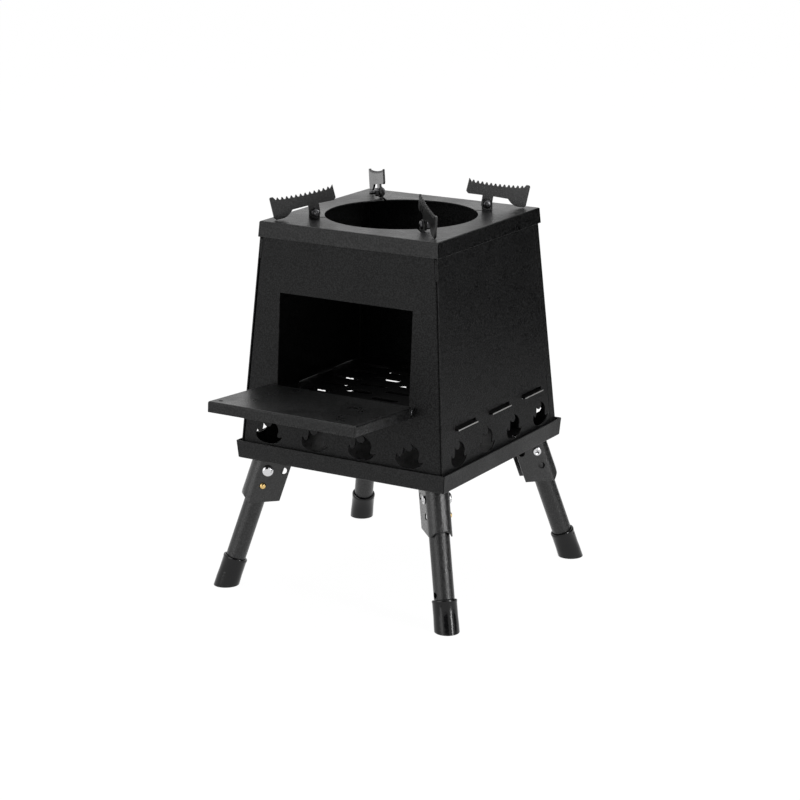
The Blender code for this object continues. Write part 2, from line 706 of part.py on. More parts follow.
def build_door(frame, black, dark):
    """The feed door, open, notched round the front wall's ears, and the two pins it turns on."""
    axis = make_empty(
        "door_axis",
        frame,
        Matrix.Translation((0, DOOR_PIVOT_Y, DOOR_PIVOT_Z)) @ Matrix.Rotation(-DOOR_TILT, 4, "X"),
    )
    low = DOOR_FACE_HEIGHT - DOOR_RIM
    bm = bmesh.new()
    bmesh.ops.create_cube(bm, size=1)
    size = Vector((2 * DOOR_HALF, DOOR_REACH + DOOR_HEEL, DOOR_RIM))
    bmesh.ops.scale(bm, vec=size, verts=bm.verts)
    centre = Vector((0, (DOOR_HEEL - DOOR_REACH) / 2, low + DOOR_RIM / 2))
    bmesh.ops.translate(bm, vec=centre, verts=bm.verts)
    opened = [face for face in bm.faces if face.normal.z < -0.9 or face.normal.y > 0.9]
    bmesh.ops.delete(bm, geom=opened, context="FACES_ONLY")
    folds = [edge for edge in bm.edges if edge.is_manifold]
    bmesh.ops.bevel(
        bm, geom=folds, offset=DOOR_BEND_RADIUS, offset_type="OFFSET", segments=ARC_STEPS, profile=0.5,
        affect="EDGES",
    )
    bmesh.ops.recalc_face_normals(bm, faces=bm.faces)
    mesh = bpy.data.meshes.new("feed_door")
    bm.to_mesh(mesh)
    bm.free()
    door = make_object("feed_door", mesh, axis, black)
    add_sheet(door)
    behind = DOOR_HEEL + CUT_MARGIN
    above = DOOR_FACE_HEIGHT + CUT_MARGIN
    heel_outline = [
        (DOOR_BACK, above),
        (DOOR_BACK, SHEET),
        (DOOR_HEEL, -DOOR_HEEL_DROP),
        (behind, -DOOR_HEEL_DROP),
        (behind, above),
    ]
    heel = outline_mesh("heel", [heel_outline], 2 * DOOR_HALF + CUT_MARGIN)
    heel.transform(upright(0, 0, 0))
    beyond = DOOR_HALF + CUT_MARGIN
    bore = cylinder_mesh("door_bore", DOOR_PIN_RADIUS + HOLE_CLEARANCE, -beyond, beyond)
    bore.transform(Matrix.Rotation(math.pi / 2, 4, "Y"))
    corner = cylinder_mesh("corner_hole", DOOR_HOLE_RADIUS, DOOR_FACE_HEIGHT - CUT_MARGIN, above)
    corner.transform(Matrix.Translation((DOOR_HOLE_INSET - DOOR_HALF, DOOR_HOLE_INSET - DOOR_REACH, 0)))
    notch_front = -DOOR_EAR_RADIUS - SEAM_GAP
    notch_inner, notch_outer = DOOR_EAR_INNER - SEAM_GAP, DOOR_EAR_OUTER + FIT_GAP
    right_notch = box_mesh("ear_notch_right", (notch_inner, notch_front, SHEET), (notch_outer, behind, above))
    left_notch = box_mesh("ear_notch_left", (-notch_outer, notch_front, SHEET), (-notch_inner, behind, above))
    cut(door, *(make_object(tool.name, tool, axis) for tool in (heel, bore, corner, right_notch, left_notch)))
    outer = DOOR_HALF + FIT_GAP
    inner = DOOR_EAR_INNER - FIT_GAP
    profile = [
        *dome(DOOR_PIN_HEAD_RADIUS, DOOR_PIN_HEAD, outer),
        (DOOR_PIN_HEAD_RADIUS, outer),
        (DOOR_PIN_RADIUS, outer),
        (DOOR_PIN_RADIUS, inner),
        *dome_below(DOOR_PIN_HEAD_RADIUS, DOOR_PIN_HEAD, inner),
    ]
    for side, name in ((-1, "door_pin_left"), (1, "door_pin_right")):
        turn = Matrix.Rotation(side * math.pi / 2, 4, "Y")
        place = Matrix.Translation((0, DOOR_PIVOT_Y, DOOR_PIVOT_Z)) @ turn
        turned_object(name, profile, frame, dark, place)
    return door


def corner_matrix(angle, radius=0.0, z=0.0):
    """Local X runs outwards along a diagonal, local Y counter-clockwise round the stove."""
    return Matrix.Rotation(angle, 4, "Z") @ Matrix.Translation((radius, 0, z))


def sideways(matrix=Matrix.Identity(4)):
    """Turns a piece built along Z to lie along local Y."""
    return matrix @ Matrix.Rotation(-math.pi / 2, 4, "X")


def build_top(frame, black):
    """Top plate with its skirts, pot hole and the four ears bent up from it."""
    skirt_low = PLATE_TOP_Z - SKIRT_HEIGHT
    outer = SHEET + FIT_GAP
    mesh = tapered_shell(
        "top_plate",
        body_half(skirt_low) + outer,
        body_half(PLATE_TOP_Z) + outer,
        skirt_low,
        PLATE_TOP_Z,
        -1,
        TOP_BEND_RADIUS,
    )
    top = make_object("top_plate", mesh, frame, black)
    add_sheet(top)
    slits = corner_slits(
        "skirt_slits",
        frame,
        body_half(skirt_low) + outer,
        skirt_low - CUT_MARGIN,
        PLATE_TOP_Z - TOP_BEND_RADIUS,
        SKIRT_SLIT,
    )
    hole = cylinder_mesh(
        "pot_hole", POT_HOLE_RADIUS, BODY_TOP_Z - CUT_MARGIN, PLATE_TOP_Z + CUT_MARGIN, POT_HOLE_STEPS
    )
    cut(top, slits, make_object("pot_hole", hole, frame))
    ear_low = BODY_TOP_Z + FIT_GAP + EAR_ROOT - SUPPORT_PIVOT_Z
    ear_outline = [(-EAR_RADIUS, ear_low), (EAR_RADIUS, ear_low), *arc((0, 0), EAR_RADIUS, 0, 180, EYE_STEPS)]
    ear = outline_mesh("ear", [ear_outline], SHEET)
    ear_y = -(FIT_GAP + SHEET) / 2
    ear.transform(Matrix.Translation((0, ear_y, 0)) @ Matrix.Rotation(math.pi / 2, 4, "X"))
    bore = cylinder_mesh("ear_bore", SUPPORT_SCREW_RADIUS + HOLE_CLEARANCE, -CUT_MARGIN, CUT_MARGIN)
    bore.transform(Matrix.Rotation(math.pi / 2, 4, "X"))
    slot = box_mesh(
        "ear_slot",
        (-EAR_RADIUS - EAR_SLOT_TAIL, ear_y - EAR_SLOT_WIDTH, -CUT_MARGIN),
        (EAR_RADIUS - EAR_SLOT_LAND, ear_y, CUT_MARGIN),
    )
    plate_z = PLATE_TOP_Z - SHEET / 2
    for name, angle in CORNERS.items():
        at_plate = corner_matrix(angle, SUPPORT_PIVOT_RADIUS, plate_z)
        at_pivot = corner_matrix(angle, SUPPORT_PIVOT_RADIUS, SUPPORT_PIVOT_Z)
        cut(top, make_object(f"ear_slot_{name}", slot, frame, None, at_plate))
        join(top, make_object(f"support_ear_{name}", ear, frame, None, at_pivot))
        cut(top, make_object(f"support_bore_{name}", bore, frame, None, at_pivot))
    return top


def support_outline():
    """The toothed arm, its pivot at the origin and its outer end at +X."""
    inner, outer = -SUPPORT_INNER, SUPPORT_OUTER
    under, stem, lobe_low = SUPPORT_UNDERSIDE, SUPPORT_STEM_HALF, SUPPORT_LOBE_BOTTOM
    horn, corner = SUPPORT_HORN_HEIGHT, SUPPORT_HORN_CORNER
    lobe_left = SUPPORT_LOBE_X - SUPPORT_LOBE_HALF
    eye_angle = math.degrees(math.asin(stem / SUPPORT_EYE_RADIUS))
    points = [(inner + SUPPORT_CORNER, under), (-stem, under)]
    points += arc((0, 0), SUPPORT_EYE_RADIUS, 270 - eye_angle, 270 + eye_angle, EYE_STEPS)
    points += [(stem, under)]
    sweep = lobe_left - stem - SUPPORT_ARCH_REACH
    drop = under - lobe_low
    for i in range(1, SUPPORT_ARCH_STEPS + 1):
        turn = math.pi / 2 * i / SUPPORT_ARCH_STEPS
        points.append((lobe_left - sweep * math.cos(turn), lobe_low + drop * math.cos(turn) ** 2))
    points += [
        (lobe_left + 2 * SUPPORT_LOBE_HALF, lobe_low),
        (outer - corner, lobe_low + SUPPORT_LOBE_RISE),
        (outer, horn - corner),
        (outer - corner, horn),
        (outer - SUPPORT_HORN_WIDTH, horn),
    ]
    first = (inner + outer - SUPPORT_CORNER - (SUPPORT_TEETH - 1) * SUPPORT_TOOTH_PITCH) / 2
    foot = SUPPORT_TOOTH_PITCH / 2 - SUPPORT_TOOTH_TIP
    crest = SUPPORT_TOOTH_TIP / 2
    for i in reversed(range(SUPPORT_TEETH)):
        share = 2 * i / (SUPPORT_TEETH - 1) - 1
        tip = SUPPORT_TOOTH_TOP - SUPPORT_TOOTH_SAG * (1 - share * share)
        valley = tip - SUPPORT_TOOTH_DEPTH
        x = first + i * SUPPORT_TOOTH_PITCH
        points += [(x + foot, valley), (x + crest, tip), (x - crest, tip), (x - foot, valley)]
    points += [(inner + SUPPORT_CORNER - corner / 2, horn - corner / 2), (inner + corner, horn)]
    points.append((inner, under + SUPPORT_CORNER))
    return points


def dome(radius, height, base, steps=HEAD_STEPS):
    """Profile points of a domed head, from its crown down to its rim."""
    angles = [math.pi / 2 * i / steps for i in range(steps + 1)]
    brim = height * HEAD_BRIM
    return [(radius * math.sin(a), base + brim + (height - brim) * math.cos(a)) for a in angles]


def dome_below(radius, height, base, steps=HEAD_STEPS):
    """Profile points of a head formed on a rivet's lower end, from its rim down to its crown."""
    turned_over = [(r, 2 * base - z) for r, z in reversed(dome(radius, height, base, steps))]
    return [(radius, base), *turned_over]


def hex_socket(name, parent, matrix, top):
    mesh = cylinder_mesh(name, SOCKET_RADIUS, top - SOCKET_DEPTH, top + CUT_MARGIN, 6)
    return make_object(name, mesh, parent, None, matrix)


def nut(name, parent, material, matrix, radius, height, bore_radius):
    """A hexagon nut along Z from 0 to its height."""
    obj = make_object(name, cylinder_mesh(name, radius, 0, height, 6), parent, material, matrix)
    bore = cylinder_mesh(f"{name}_bore", bore_radius + HOLE_CLEARANCE / 2, -CUT_MARGIN, height + CUT_MARGIN)
    cut(obj, make_object(f"{name}_bore", bore, parent, None, matrix))
    return obj


def build_supports(frame, black, dark):
    """The four toothed pot supports with their screws and nuts."""
    arm = outline_mesh("pot_support", [support_outline()], SUPPORT_THICKNESS)
    arm.transform(Matrix.Rotation(math.pi / 2, 4, "X"))
    bore = cylinder_mesh("arm_bore", SUPPORT_SCREW_RADIUS + HOLE_CLEARANCE, -CUT_MARGIN, CUT_MARGIN)
    bore.transform(Matrix.Rotation(math.pi / 2, 4, "X"))
    head_y = -(SHEET + 1.5 * FIT_GAP)
    nut_y = SUPPORT_THICKNESS + 1.5 * FIT_GAP
    end = SUPPORT_SCREW_LENGTH
    profile = [
        *dome(SUPPORT_HEAD_RADIUS, SUPPORT_HEAD_HEIGHT, 0),
        (SUPPORT_HEAD_RADIUS, 0),
        (SUPPORT_SCREW_RADIUS, 0),
        (SUPPORT_SCREW_RADIUS, SUPPORT_SCREW_CHAMFER - end),
        (SUPPORT_SCREW_RADIUS - SUPPORT_SCREW_CHAMFER, -end),
        (0, -end),
    ]
    for name, angle in CORNERS.items():
        place = corner_matrix(angle, SUPPORT_PIVOT_RADIUS, SUPPORT_PIVOT_Z)
        axis = make_empty(f"support_axis_{name}", frame, place @ Matrix.Rotation(SUPPORT_TILT, 4, "Y"))
        beside = Matrix.Translation((0, (FIT_GAP + SUPPORT_THICKNESS) / 2, 0))
        support = make_object(f"pot_support_{name}", arm.copy(), axis, black, beside)
        cut(support, make_object(f"arm_bore_{name}", bore, axis, None, beside))
        head = place @ Matrix.Translation((0, head_y, 0)) @ Matrix.Rotation(math.pi / 2, 4, "X")
        screw = turned_object(f"support_screw_{name}", profile, frame, dark, head)
        cut(screw, hex_socket(f"support_socket_{name}", frame, head, SUPPORT_HEAD_HEIGHT))
        nut_place = sideways(place @ Matrix.Translation((0, nut_y, 0)))
        nut(
            f"support_nut_{name}", frame, dark, nut_place, SUPPORT_NUT_RADIUS, SUPPORT_NUT_HEIGHT,
            SUPPORT_SCREW_RADIUS,
        )


def bracket_section(shift):
    """The bracket's U seen from above, its back outwards, moved outwards by shift."""
    depth = BRACKET_BACK_RADIUS - BRACKET_INNER_RADIUS
    turned = channel_section(CHEEK_OUTER, 0, depth, BRACKET_BEND_RADIUS, steps=BRACKET_BEND_STEPS)
    return [(BRACKET_BACK_RADIUS - y + shift, x) for x, y in turned]


def bracket_mesh():
    bottom_z = BRACKET_TOP_Z - BRACKET_HEIGHT
    shift = BRACKET_HEIGHT * math.tan(LEG_SPLAY)
    bottom = [(x, y, bottom_z) for x, y in bracket_section(shift)]
    top = [(x, y, BRACKET_TOP_Z) for x, y in bracket_section(0)]
    return lofted_mesh("leg_bracket", bottom, top)


def build_brackets(frame, tray, black, chrome):
    """Leg brackets riveted under the tray, with their leg pivot rivets."""
    bottom_z = BRACKET_TOP_Z - BRACKET_HEIGHT
    shift = math.tan(LEG_SPLAY)
    back_at = BRACKET_BACK_RADIUS + (BRACKET_HEIGHT - BRACKET_CHAMFER_HEIGHT) * shift
    foot_at = BRACKET_BACK_RADIUS + BRACKET_HEIGHT * shift - BRACKET_CHAMFER_DEPTH
    knee_z = bottom_z + BRACKET_CHAMFER_HEIGHT / 2
    chamfer = outline_mesh(
        "chamfer",
        [[
            (back_at, bottom_z + BRACKET_CHAMFER_HEIGHT),
            ((back_at + foot_at) / 2 + BRACKET_CHAMFER_DEPTH / 3, knee_z),
            (foot_at, bottom_z),
            (foot_at, bottom_z - CUT_MARGIN),
            (back_at + 2 * CUT_MARGIN, bottom_z - CUT_MARGIN),
            (back_at + 2 * CUT_MARGIN, bottom_z + BRACKET_CHAMFER_HEIGHT),
        ]],
        3 * CHEEK_OUTER,
    )
    chamfer.transform(Matrix.Rotation(math.pi / 2, 4, "X"))
    web_top = BRACKET_TOP_Z - BRACKET_WEB_DROP
    web = box_mesh(
        "web",
        (BRACKET_INNER_RADIUS + BRACKET_WEB_SETBACK, -CHEEK_INNER - SHEET / 2, web_top - SHEET),
        (BRACKET_INNER_RADIUS + BRACKET_WEB_LENGTH, CHEEK_INNER + SHEET / 2, web_top),
    )
    across = 2 * CHEEK_OUTER
    pivot_bore = cylinder_mesh("pivot_bore", PIVOT_RIVET_RADIUS + HOLE_CLEARANCE, -across, across)
    lock_bore = cylinder_mesh("lock_bore", BUTTON_RADIUS + HOLE_CLEARANCE, -across, across)
    rivet_x = BRACKET_INNER_RADIUS + RIVET_INSET
    rivet_bore = cylinder_mesh("rivet_bore", RIVET_RADIUS + HOLE_CLEARANCE, -CUT_MARGIN, CUT_MARGIN)
    rivet_low = web_top - SHEET - FIT_GAP
    rivet_high = TRAY_BOTTOM_Z + SHEET + FIT_GAP
    rivet_profile = [
        *dome(RIVET_HEAD_RADIUS, RIVET_HEAD_HEIGHT, rivet_high),
        (RIVET_HEAD_RADIUS, rivet_high),
        (RIVET_RADIUS, rivet_high),
        (RIVET_RADIUS, rivet_low),
        *dome_below(RIVET_HEAD_RADIUS, RIVET_HEAD_HEIGHT, rivet_low),
    ]
    head_at = CHEEK_OUTER + FIT_GAP
    roll_end = -head_at - PIVOT_ROLL_HEIGHT
    pivot_profile = [
        *dome(PIVOT_HEAD_RADIUS, PIVOT_HEAD_HEIGHT, head_at),
        (PIVOT_HEAD_RADIUS, head_at),
        (PIVOT_RIVET_RADIUS, head_at),
        (PIVOT_RIVET_RADIUS, -head_at),
        (PIVOT_ROLL_RADIUS, -head_at),
        (PIVOT_ROLL_RADIUS, -head_at - PIVOT_ROLL_HEIGHT / 2),
        ((PIVOT_ROLL_RADIUS + PIVOT_RIVET_RADIUS) / 2, roll_end),
        (PIVOT_BORE_RADIUS, roll_end + PIVOT_ROLL_HEIGHT / 2),
        (PIVOT_BORE_RADIUS, roll_end + PIVOT_BORE_DEPTH),
        (0, roll_end + PIVOT_BORE_DEPTH),
    ]
    body = bracket_mesh()
    for name, angle in CORNERS.items():
        corner = corner_matrix(angle)
        pivot = corner_matrix(angle, LEG_PIVOT_RADIUS, LEG_PIVOT_Z)
        bracket = make_object(f"leg_bracket_{name}", body.copy(), frame, black, corner)
        join(bracket, make_object(f"bracket_web_{name}", web, frame, None, corner))
        cut(bracket, make_object(f"bracket_chamfer_{name}", chamfer, frame, None, corner))
        cut(bracket, make_object(f"pivot_bore_{name}", pivot_bore, frame, None, sideways(pivot)))
        for label, turn in (("open", LEG_SPLAY), ("folded", LEG_SPLAY - FOLD_ANGLE)):
            at = pivot @ Matrix.Translation(
                (LOCK_RADIUS * math.sin(turn), 0, -LOCK_RADIUS * math.cos(turn))
            )
            cut(bracket, make_object(f"lock_bore_{label}_{name}", lock_bore, frame, None, sideways(at)))
        at_rivet = corner_matrix(angle, rivet_x, TRAY_BOTTOM_Z)
        hole = make_object(f"rivet_bore_{name}", rivet_bore, frame, None, at_rivet)
        cut(bracket, hole)
        cut(tray, hole)
        turned_object(
            f"bracket_rivet_{name}", rivet_profile, frame, chrome, corner_matrix(angle, rivet_x), BORE_STEPS
        )
        turned_object(f"leg_pivot_rivet_{name}", pivot_profile, frame, chrome, sideways(pivot))


def leg_tube_mesh():
    """The tube along -Z from its pivot at the origin, down into the foot cap."""
    bottom = -(LEG_LENGTH - CAP_FLOOR - FIT_GAP)
    bm = bmesh.new()
    bmesh.ops.create_cone(
        bm, cap_ends=False, segments=TUBE_STEPS, radius1=TUBE_RADIUS, radius2=TUBE_RADIUS,
        depth=TUBE_ABOVE_PIVOT - bottom,
    )
    bmesh.ops.translate(bm, vec=(0, 0, (TUBE_ABOVE_PIVOT + bottom) / 2), verts=bm.verts)
    bmesh.ops.recalc_face_normals(bm, faces=bm.faces)
    mesh = bpy.data.meshes.new("leg_tube")
    bm.to_mesh(mesh)
    bm.free()
    shade_round(mesh)
    return mesh


def spring_mesh():
    """The V of spring leaf inside the tube, as the open face on its outer side."""
    outer = BUTTON_FLANGE_INNER - FIT_GAP
    path = [(outer, SPRING_TOP), (outer, SPRING_SHOULDER), (SPRING_BEND_HALF, SPRING_END - SPRING_BEND_HALF)]
    path += [(x, SPRING_END - SPRING_BEND_HALF + y) for x, y in arc((0, 0), SPRING_BEND_HALF, 30, 150, 4)]
    path += [(-x, depth) for x, depth in reversed(path[:3])]
    bm = bmesh.new()
    rows = [
        [bm.verts.new((x, y, -depth)) for x in (-SPRING_HALF_WIDTH, SPRING_HALF_WIDTH)] for y, depth in path
    ]
    for first, second in zip(rows, rows[1:]):
        bm.faces.new((first[0], first[1], second[1], second[0]))
    bmesh.ops.recalc_face_normals(bm, faces=bm.faces)
    mesh = bpy.data.meshes.new("lock_spring")
    bm.to_mesh(mesh)
    bm.free()
    return mesh


def build_legs(frame, black, plastic, brass, spring_steel):
    """The four folding legs: tube, foot cap, lock button and the leaf spring behind it."""
    tube = leg_tube_mesh()
    leaf = spring_mesh()
    floor_cut = box_mesh(
        "ground", (-4 * CAP_RADIUS, -4 * CAP_RADIUS, -4 * CAP_RADIUS), (4 * CAP_RADIUS, 4 * CAP_RADIUS, 0)
    )
    cap_top = -(LEG_LENGTH - CAP_LENGTH)
    cap_end = -(LEG_LENGTH + CAP_RADIUS)
    bore_radius = TUBE_RADIUS + FIT_GAP
    floor_at = -(LEG_LENGTH - CAP_FLOOR)
    cap_profile = [
        (0, floor_at),
        (bore_radius, floor_at),
        (bore_radius, cap_top),
        *arc((CAP_RADIUS - CAP_EDGE_RADIUS, cap_top - CAP_EDGE_RADIUS), CAP_EDGE_RADIUS, 90, 0),
        (CAP_RADIUS, cap_end),
        (0, cap_end),
    ]
    across = 2 * TUBE_RADIUS
    pivot_hole = cylinder_mesh("tube_bore", PIVOT_RIVET_RADIUS + HOLE_CLEARANCE, -across, across)
    button_hole = cylinder_mesh("button_bore", BUTTON_RADIUS + HOLE_CLEARANCE, 0, across)
    drain_hole = cylinder_mesh("drain_bore", DRAIN_HOLE_RADIUS, 0, across)
    button_tip = CHEEK_OUTER + BUTTON_PROUD
    flange_outer = BUTTON_FLANGE_INNER + BUTTON_FLANGE
    button_profile = [
        *dome(BUTTON_RADIUS, BUTTON_PROUD, button_tip - BUTTON_PROUD),
        (BUTTON_RADIUS, flange_outer),
        (BUTTON_FLANGE_RADIUS, flange_outer),
        (BUTTON_FLANGE_RADIUS, BUTTON_FLANGE_INNER),
        (0, BUTTON_FLANGE_INNER),
    ]
    for name, angle in CORNERS.items():
        place = corner_matrix(angle, LEG_PIVOT_RADIUS, LEG_PIVOT_Z) @ Matrix.Rotation(-LEG_SPLAY, 4, "Y")
        axis = make_empty(f"leg_axis_{name}", frame, place)
        leg = make_object(f"leg_tube_{name}", tube.copy(), axis, black)
        add_sheet(leg, TUBE_WALL)
        lock_at = Matrix.Translation((0, 0, -LOCK_RADIUS))
        drain_turn = DRAIN_HOLE_TURN + (math.pi if name == DRAIN_HOLE_REVERSED else 0)
        drain_at = (
            Matrix.Translation((0, 0, cap_top + DRAIN_HOLE_ABOVE_CAP))
            @ Matrix.Rotation(drain_turn, 4, "Z")
            @ Matrix.Rotation(math.pi / 2, 4, "X")
        )
        cut(
            leg,
            make_object(f"tube_bore_{name}", pivot_hole, axis, None, sideways()),
            make_object(f"button_bore_{name}", button_hole, axis, None, sideways(lock_at)),
            make_object(f"drain_bore_{name}", drain_hole, axis, None, drain_at),
        )
        cap = turned_object(f"foot_cap_{name}", cap_profile, axis, plastic, Matrix.Identity(4), TUBE_STEPS)
        cut(cap, make_object(f"ground_{name}", floor_cut, frame, None, corner_matrix(angle, FOOT_RADIUS)))
        turned_object(f"lock_button_{name}", button_profile, axis, brass, sideways(lock_at))
        spring = make_object(f"lock_spring_{name}", leaf.copy(), axis, spring_steel)
        add_sheet(spring, SPRING_THICKNESS)


def build_stove():
    black = make_material("black_coated_steel", (0.022, 0.022, 0.023), 0.5, 0.0)
    plate_black = make_material("black_coated_top", (0.024, 0.024, 0.025), 0.32, 0.0)
    chrome = make_material("chromed_steel", (0.75, 0.75, 0.76), 0.18, 1.0)
    brass = make_material("brass", (0.72, 0.50, 0.22), 0.3, 1.0)
    blackened = make_material("blackened_steel", (0.09, 0.09, 0.092), 0.3, 1.0)
    plastic = make_material("black_cap_plastic", (0.02, 0.02, 0.021), 0.25, 0.0)
    spring_steel = make_material("spring_steel", (0.5, 0.5, 0.5), 0.35, 1.0)
    dark_steel = make_material("dark_steel_grate", (0.05, 0.05, 0.052), 0.45, 0.3)
    frame = make_empty("stove_frame", None, Matrix.Translation((0, CENTRE_SHIFT_Y, 0)))
    tray = build_tray(frame, black)
    front = build_front(frame, black)
    back = build_back(frame, black)
    left = build_side(frame, black, "left_panel", -1)
    right = build_side(frame, black, "right_panel", 1)
    front_vents = spaced(VENT_COUNT, FRONT_VENT_PITCH, FRONT_VENT_OFFSET)
    side_vents = spaced(VENT_COUNT, SIDE_VENT_PITCH, SIDE_VENT_OFFSET)
    build_vents(
        frame,
        (
            (front, 0, front_vents),
            (right, math.pi / 2, side_vents),
            (back, math.pi, front_vents),
            (left, -math.pi / 2, side_vents),
        ),
    )
    build_grate(frame, dark_steel)
    build_door(frame, black, blackened)
    build_top(frame, plate_black)
    build_supports(frame, plate_black, blackened)
    build_brackets(frame, tray, black, chrome)
    build_legs(frame, black, plastic, brass, spring_steel)


clear_scene()
PARTS = make_collection("outdoor_wood_stove")
CUTTERS = make_collection("cutters")
build_stove()
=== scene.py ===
"""Looks of the outdoor wood stove: finishes, rounded edges, fasteners, studio and camera.

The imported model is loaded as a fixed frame. Each sub-assembly is a class that dresses its own
pieces: sheet parts get rounded edges and a powder coat, and turned parts are made afresh.
Lengths are in metres, in the frame's own axes: +Z up, the feed door faces -Y.
"""
from __future__ import annotations

import json
import logging
import math
from dataclasses import dataclass, field
from enum import Enum
from typing import Any, Iterable, Sequence

import bmesh
import bpy
from bpy.types import Material, Mesh, Node, NodeSocket, NodeTree, Object
from mathutils import Matrix, Vector
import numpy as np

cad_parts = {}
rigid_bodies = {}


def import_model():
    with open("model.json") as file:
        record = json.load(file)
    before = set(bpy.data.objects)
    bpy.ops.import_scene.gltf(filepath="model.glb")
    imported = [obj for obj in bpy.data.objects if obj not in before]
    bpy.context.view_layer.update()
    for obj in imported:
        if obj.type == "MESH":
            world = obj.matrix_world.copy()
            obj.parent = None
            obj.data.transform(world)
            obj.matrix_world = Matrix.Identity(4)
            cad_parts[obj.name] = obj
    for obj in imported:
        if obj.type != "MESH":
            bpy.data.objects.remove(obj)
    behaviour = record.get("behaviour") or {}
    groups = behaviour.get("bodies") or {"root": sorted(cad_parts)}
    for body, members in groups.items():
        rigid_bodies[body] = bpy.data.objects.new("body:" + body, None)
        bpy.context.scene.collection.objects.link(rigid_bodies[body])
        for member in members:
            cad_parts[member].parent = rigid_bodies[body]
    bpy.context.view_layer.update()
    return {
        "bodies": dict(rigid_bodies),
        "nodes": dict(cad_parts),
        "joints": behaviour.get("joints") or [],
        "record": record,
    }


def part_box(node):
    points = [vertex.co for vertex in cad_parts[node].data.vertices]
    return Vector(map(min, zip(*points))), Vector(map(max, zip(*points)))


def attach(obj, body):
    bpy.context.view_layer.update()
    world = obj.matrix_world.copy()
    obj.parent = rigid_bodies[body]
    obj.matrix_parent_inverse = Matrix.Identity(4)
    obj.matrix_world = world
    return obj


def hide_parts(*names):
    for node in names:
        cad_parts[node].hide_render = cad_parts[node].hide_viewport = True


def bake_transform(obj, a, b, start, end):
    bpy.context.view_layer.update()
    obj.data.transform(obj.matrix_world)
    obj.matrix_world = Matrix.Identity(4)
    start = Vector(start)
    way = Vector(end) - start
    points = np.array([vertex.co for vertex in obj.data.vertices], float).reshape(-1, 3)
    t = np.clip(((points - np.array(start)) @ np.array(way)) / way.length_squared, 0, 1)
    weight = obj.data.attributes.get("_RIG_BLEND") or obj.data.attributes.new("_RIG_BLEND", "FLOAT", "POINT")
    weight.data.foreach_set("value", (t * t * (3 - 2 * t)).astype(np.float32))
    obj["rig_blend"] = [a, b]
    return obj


LOG = logging.getLogger("stove")
MM = 0.001
WELD = 0.00001
SHARP_FROM = math.radians(40)

Profile = Sequence[tuple[float, float]]
Colour = tuple[float, float, float]
Point = tuple[float, float, float]


class Corner(Enum):
    """The stove's corners, each with the direction of its diagonal in degrees."""

    FRONT_RIGHT = -45
    BACK_RIGHT = 45
    BACK_LEFT = 135
    FRONT_LEFT = -135

    @property
    def label(self) -> str:
        """The corner's name as the frame's nodes and bodies spell it."""
        return self.name.lower()

    @property
    def angle(self) -> float:
        """The diagonal's direction in radians."""
        return math.radians(self.value)


class Slot(Enum):
    """Material slots of the frame's record."""

    COAT = "black_coated_steel"
    PLATE = "black_coated_top"
    GRATE = "dark_steel_grate"
    CHROME = "chromed_steel"
    BLACKENED = "blackened_steel"
    BRASS = "brass"
    CAP = "black_cap_plastic"
    SPRING = "spring_steel"


class Graph:
    """A node tree that is being wired, with short calls to add and join nodes."""

    def __init__(self, tree: NodeTree) -> None:
        """Keep the tree that receives the nodes."""
        self.tree = tree

    def feed(self, node: Node, inputs: dict[Any, Any]) -> None:
        """Give a node's inputs their values and links.

        Args:
            node: the node.
            inputs: socket name or index to a value or to an output socket.
        """
        for key, value in inputs.items():
            if isinstance(value, NodeSocket):
                self.tree.links.new(value, node.inputs[key])
            else:
                node.inputs[key].default_value = value

    def add(self, kind: str, inputs: dict[Any, Any] | None = None, **settings: Any) -> Node:
        """Add a node, set it up and feed its inputs.

        Args:
            kind: Blender's name of the node's type.
            inputs: as for feed.
            settings: attributes of the node.

        Returns:
            The new node.
        """
        node = self.tree.nodes.new(kind)
        for name, value in settings.items():
            setattr(node, name, value)
        self.feed(node, inputs or {})
        return node

    def math(self, operation: str, *values: Any, clamp: bool = False) -> NodeSocket:
        """The result of a Math node on numbers or sockets, held between 0 and 1 by clamp."""
        operands = dict(enumerate(values))
        return self.add("ShaderNodeMath", operands, operation=operation, use_clamp=clamp).outputs[0]

    def vector_math(self, operation: str, *values: Any) -> Node:
        """A Vector Math node on vectors or sockets."""
        return self.add("ShaderNodeVectorMath", dict(enumerate(values)), operation=operation)

    def ramp(
        self, value: Any, low: float, high: float, start: float = 0.0, end: float = 1.0
    ) -> NodeSocket:
        """The value mapped smoothly from low..high to start..end."""
        keys = {"Value": value, "From Min": low, "From Max": high, "To Min": start, "To Max": end}
        node = self.add("ShaderNodeMapRange", keys, interpolation_type="SMOOTHSTEP")
        return node.outputs["Result"]

    def mix(self, factor: Any, first: Any, second: Any) -> NodeSocket:
        """Two colours mixed, with as much of the second as factor says."""
        keys = {0: factor, 6: first, 7: second}
        return self.add("ShaderNodeMix", keys, data_type="RGBA").outputs[2]

    def noise(self, size: Any, detail: float = 2.0, vector: Any = None) -> NodeSocket:
        """Add a noise texture on Object coordinates.

        Args:
            size: the size of its features, in metres, a number or a socket.
            detail: its octaves.
            vector: the coordinates, where they aren't the plain ones.

        Returns:
            The noise value's socket.
        """
        scale = self.math("DIVIDE", 1.0, size) if isinstance(size, NodeSocket) else 1.0 / size
        keys = {"Vector": vector or self.place(), "Scale": scale, "Detail": detail}
        return self.add("ShaderNodeTexNoise", keys).outputs[0]

    def bump(self, height: NodeSocket, depth: float, strength: float) -> NodeSocket:
        """The normal of a surface that is raised by height, at most by depth."""
        keys = {"Strength": strength, "Distance": depth, "Height": height}
        return self.add("ShaderNodeBump", keys).outputs[0]

    def place(self) -> NodeSocket:
        """The point's place on the object."""
        return self.add("ShaderNodeTexCoord").outputs["Object"]


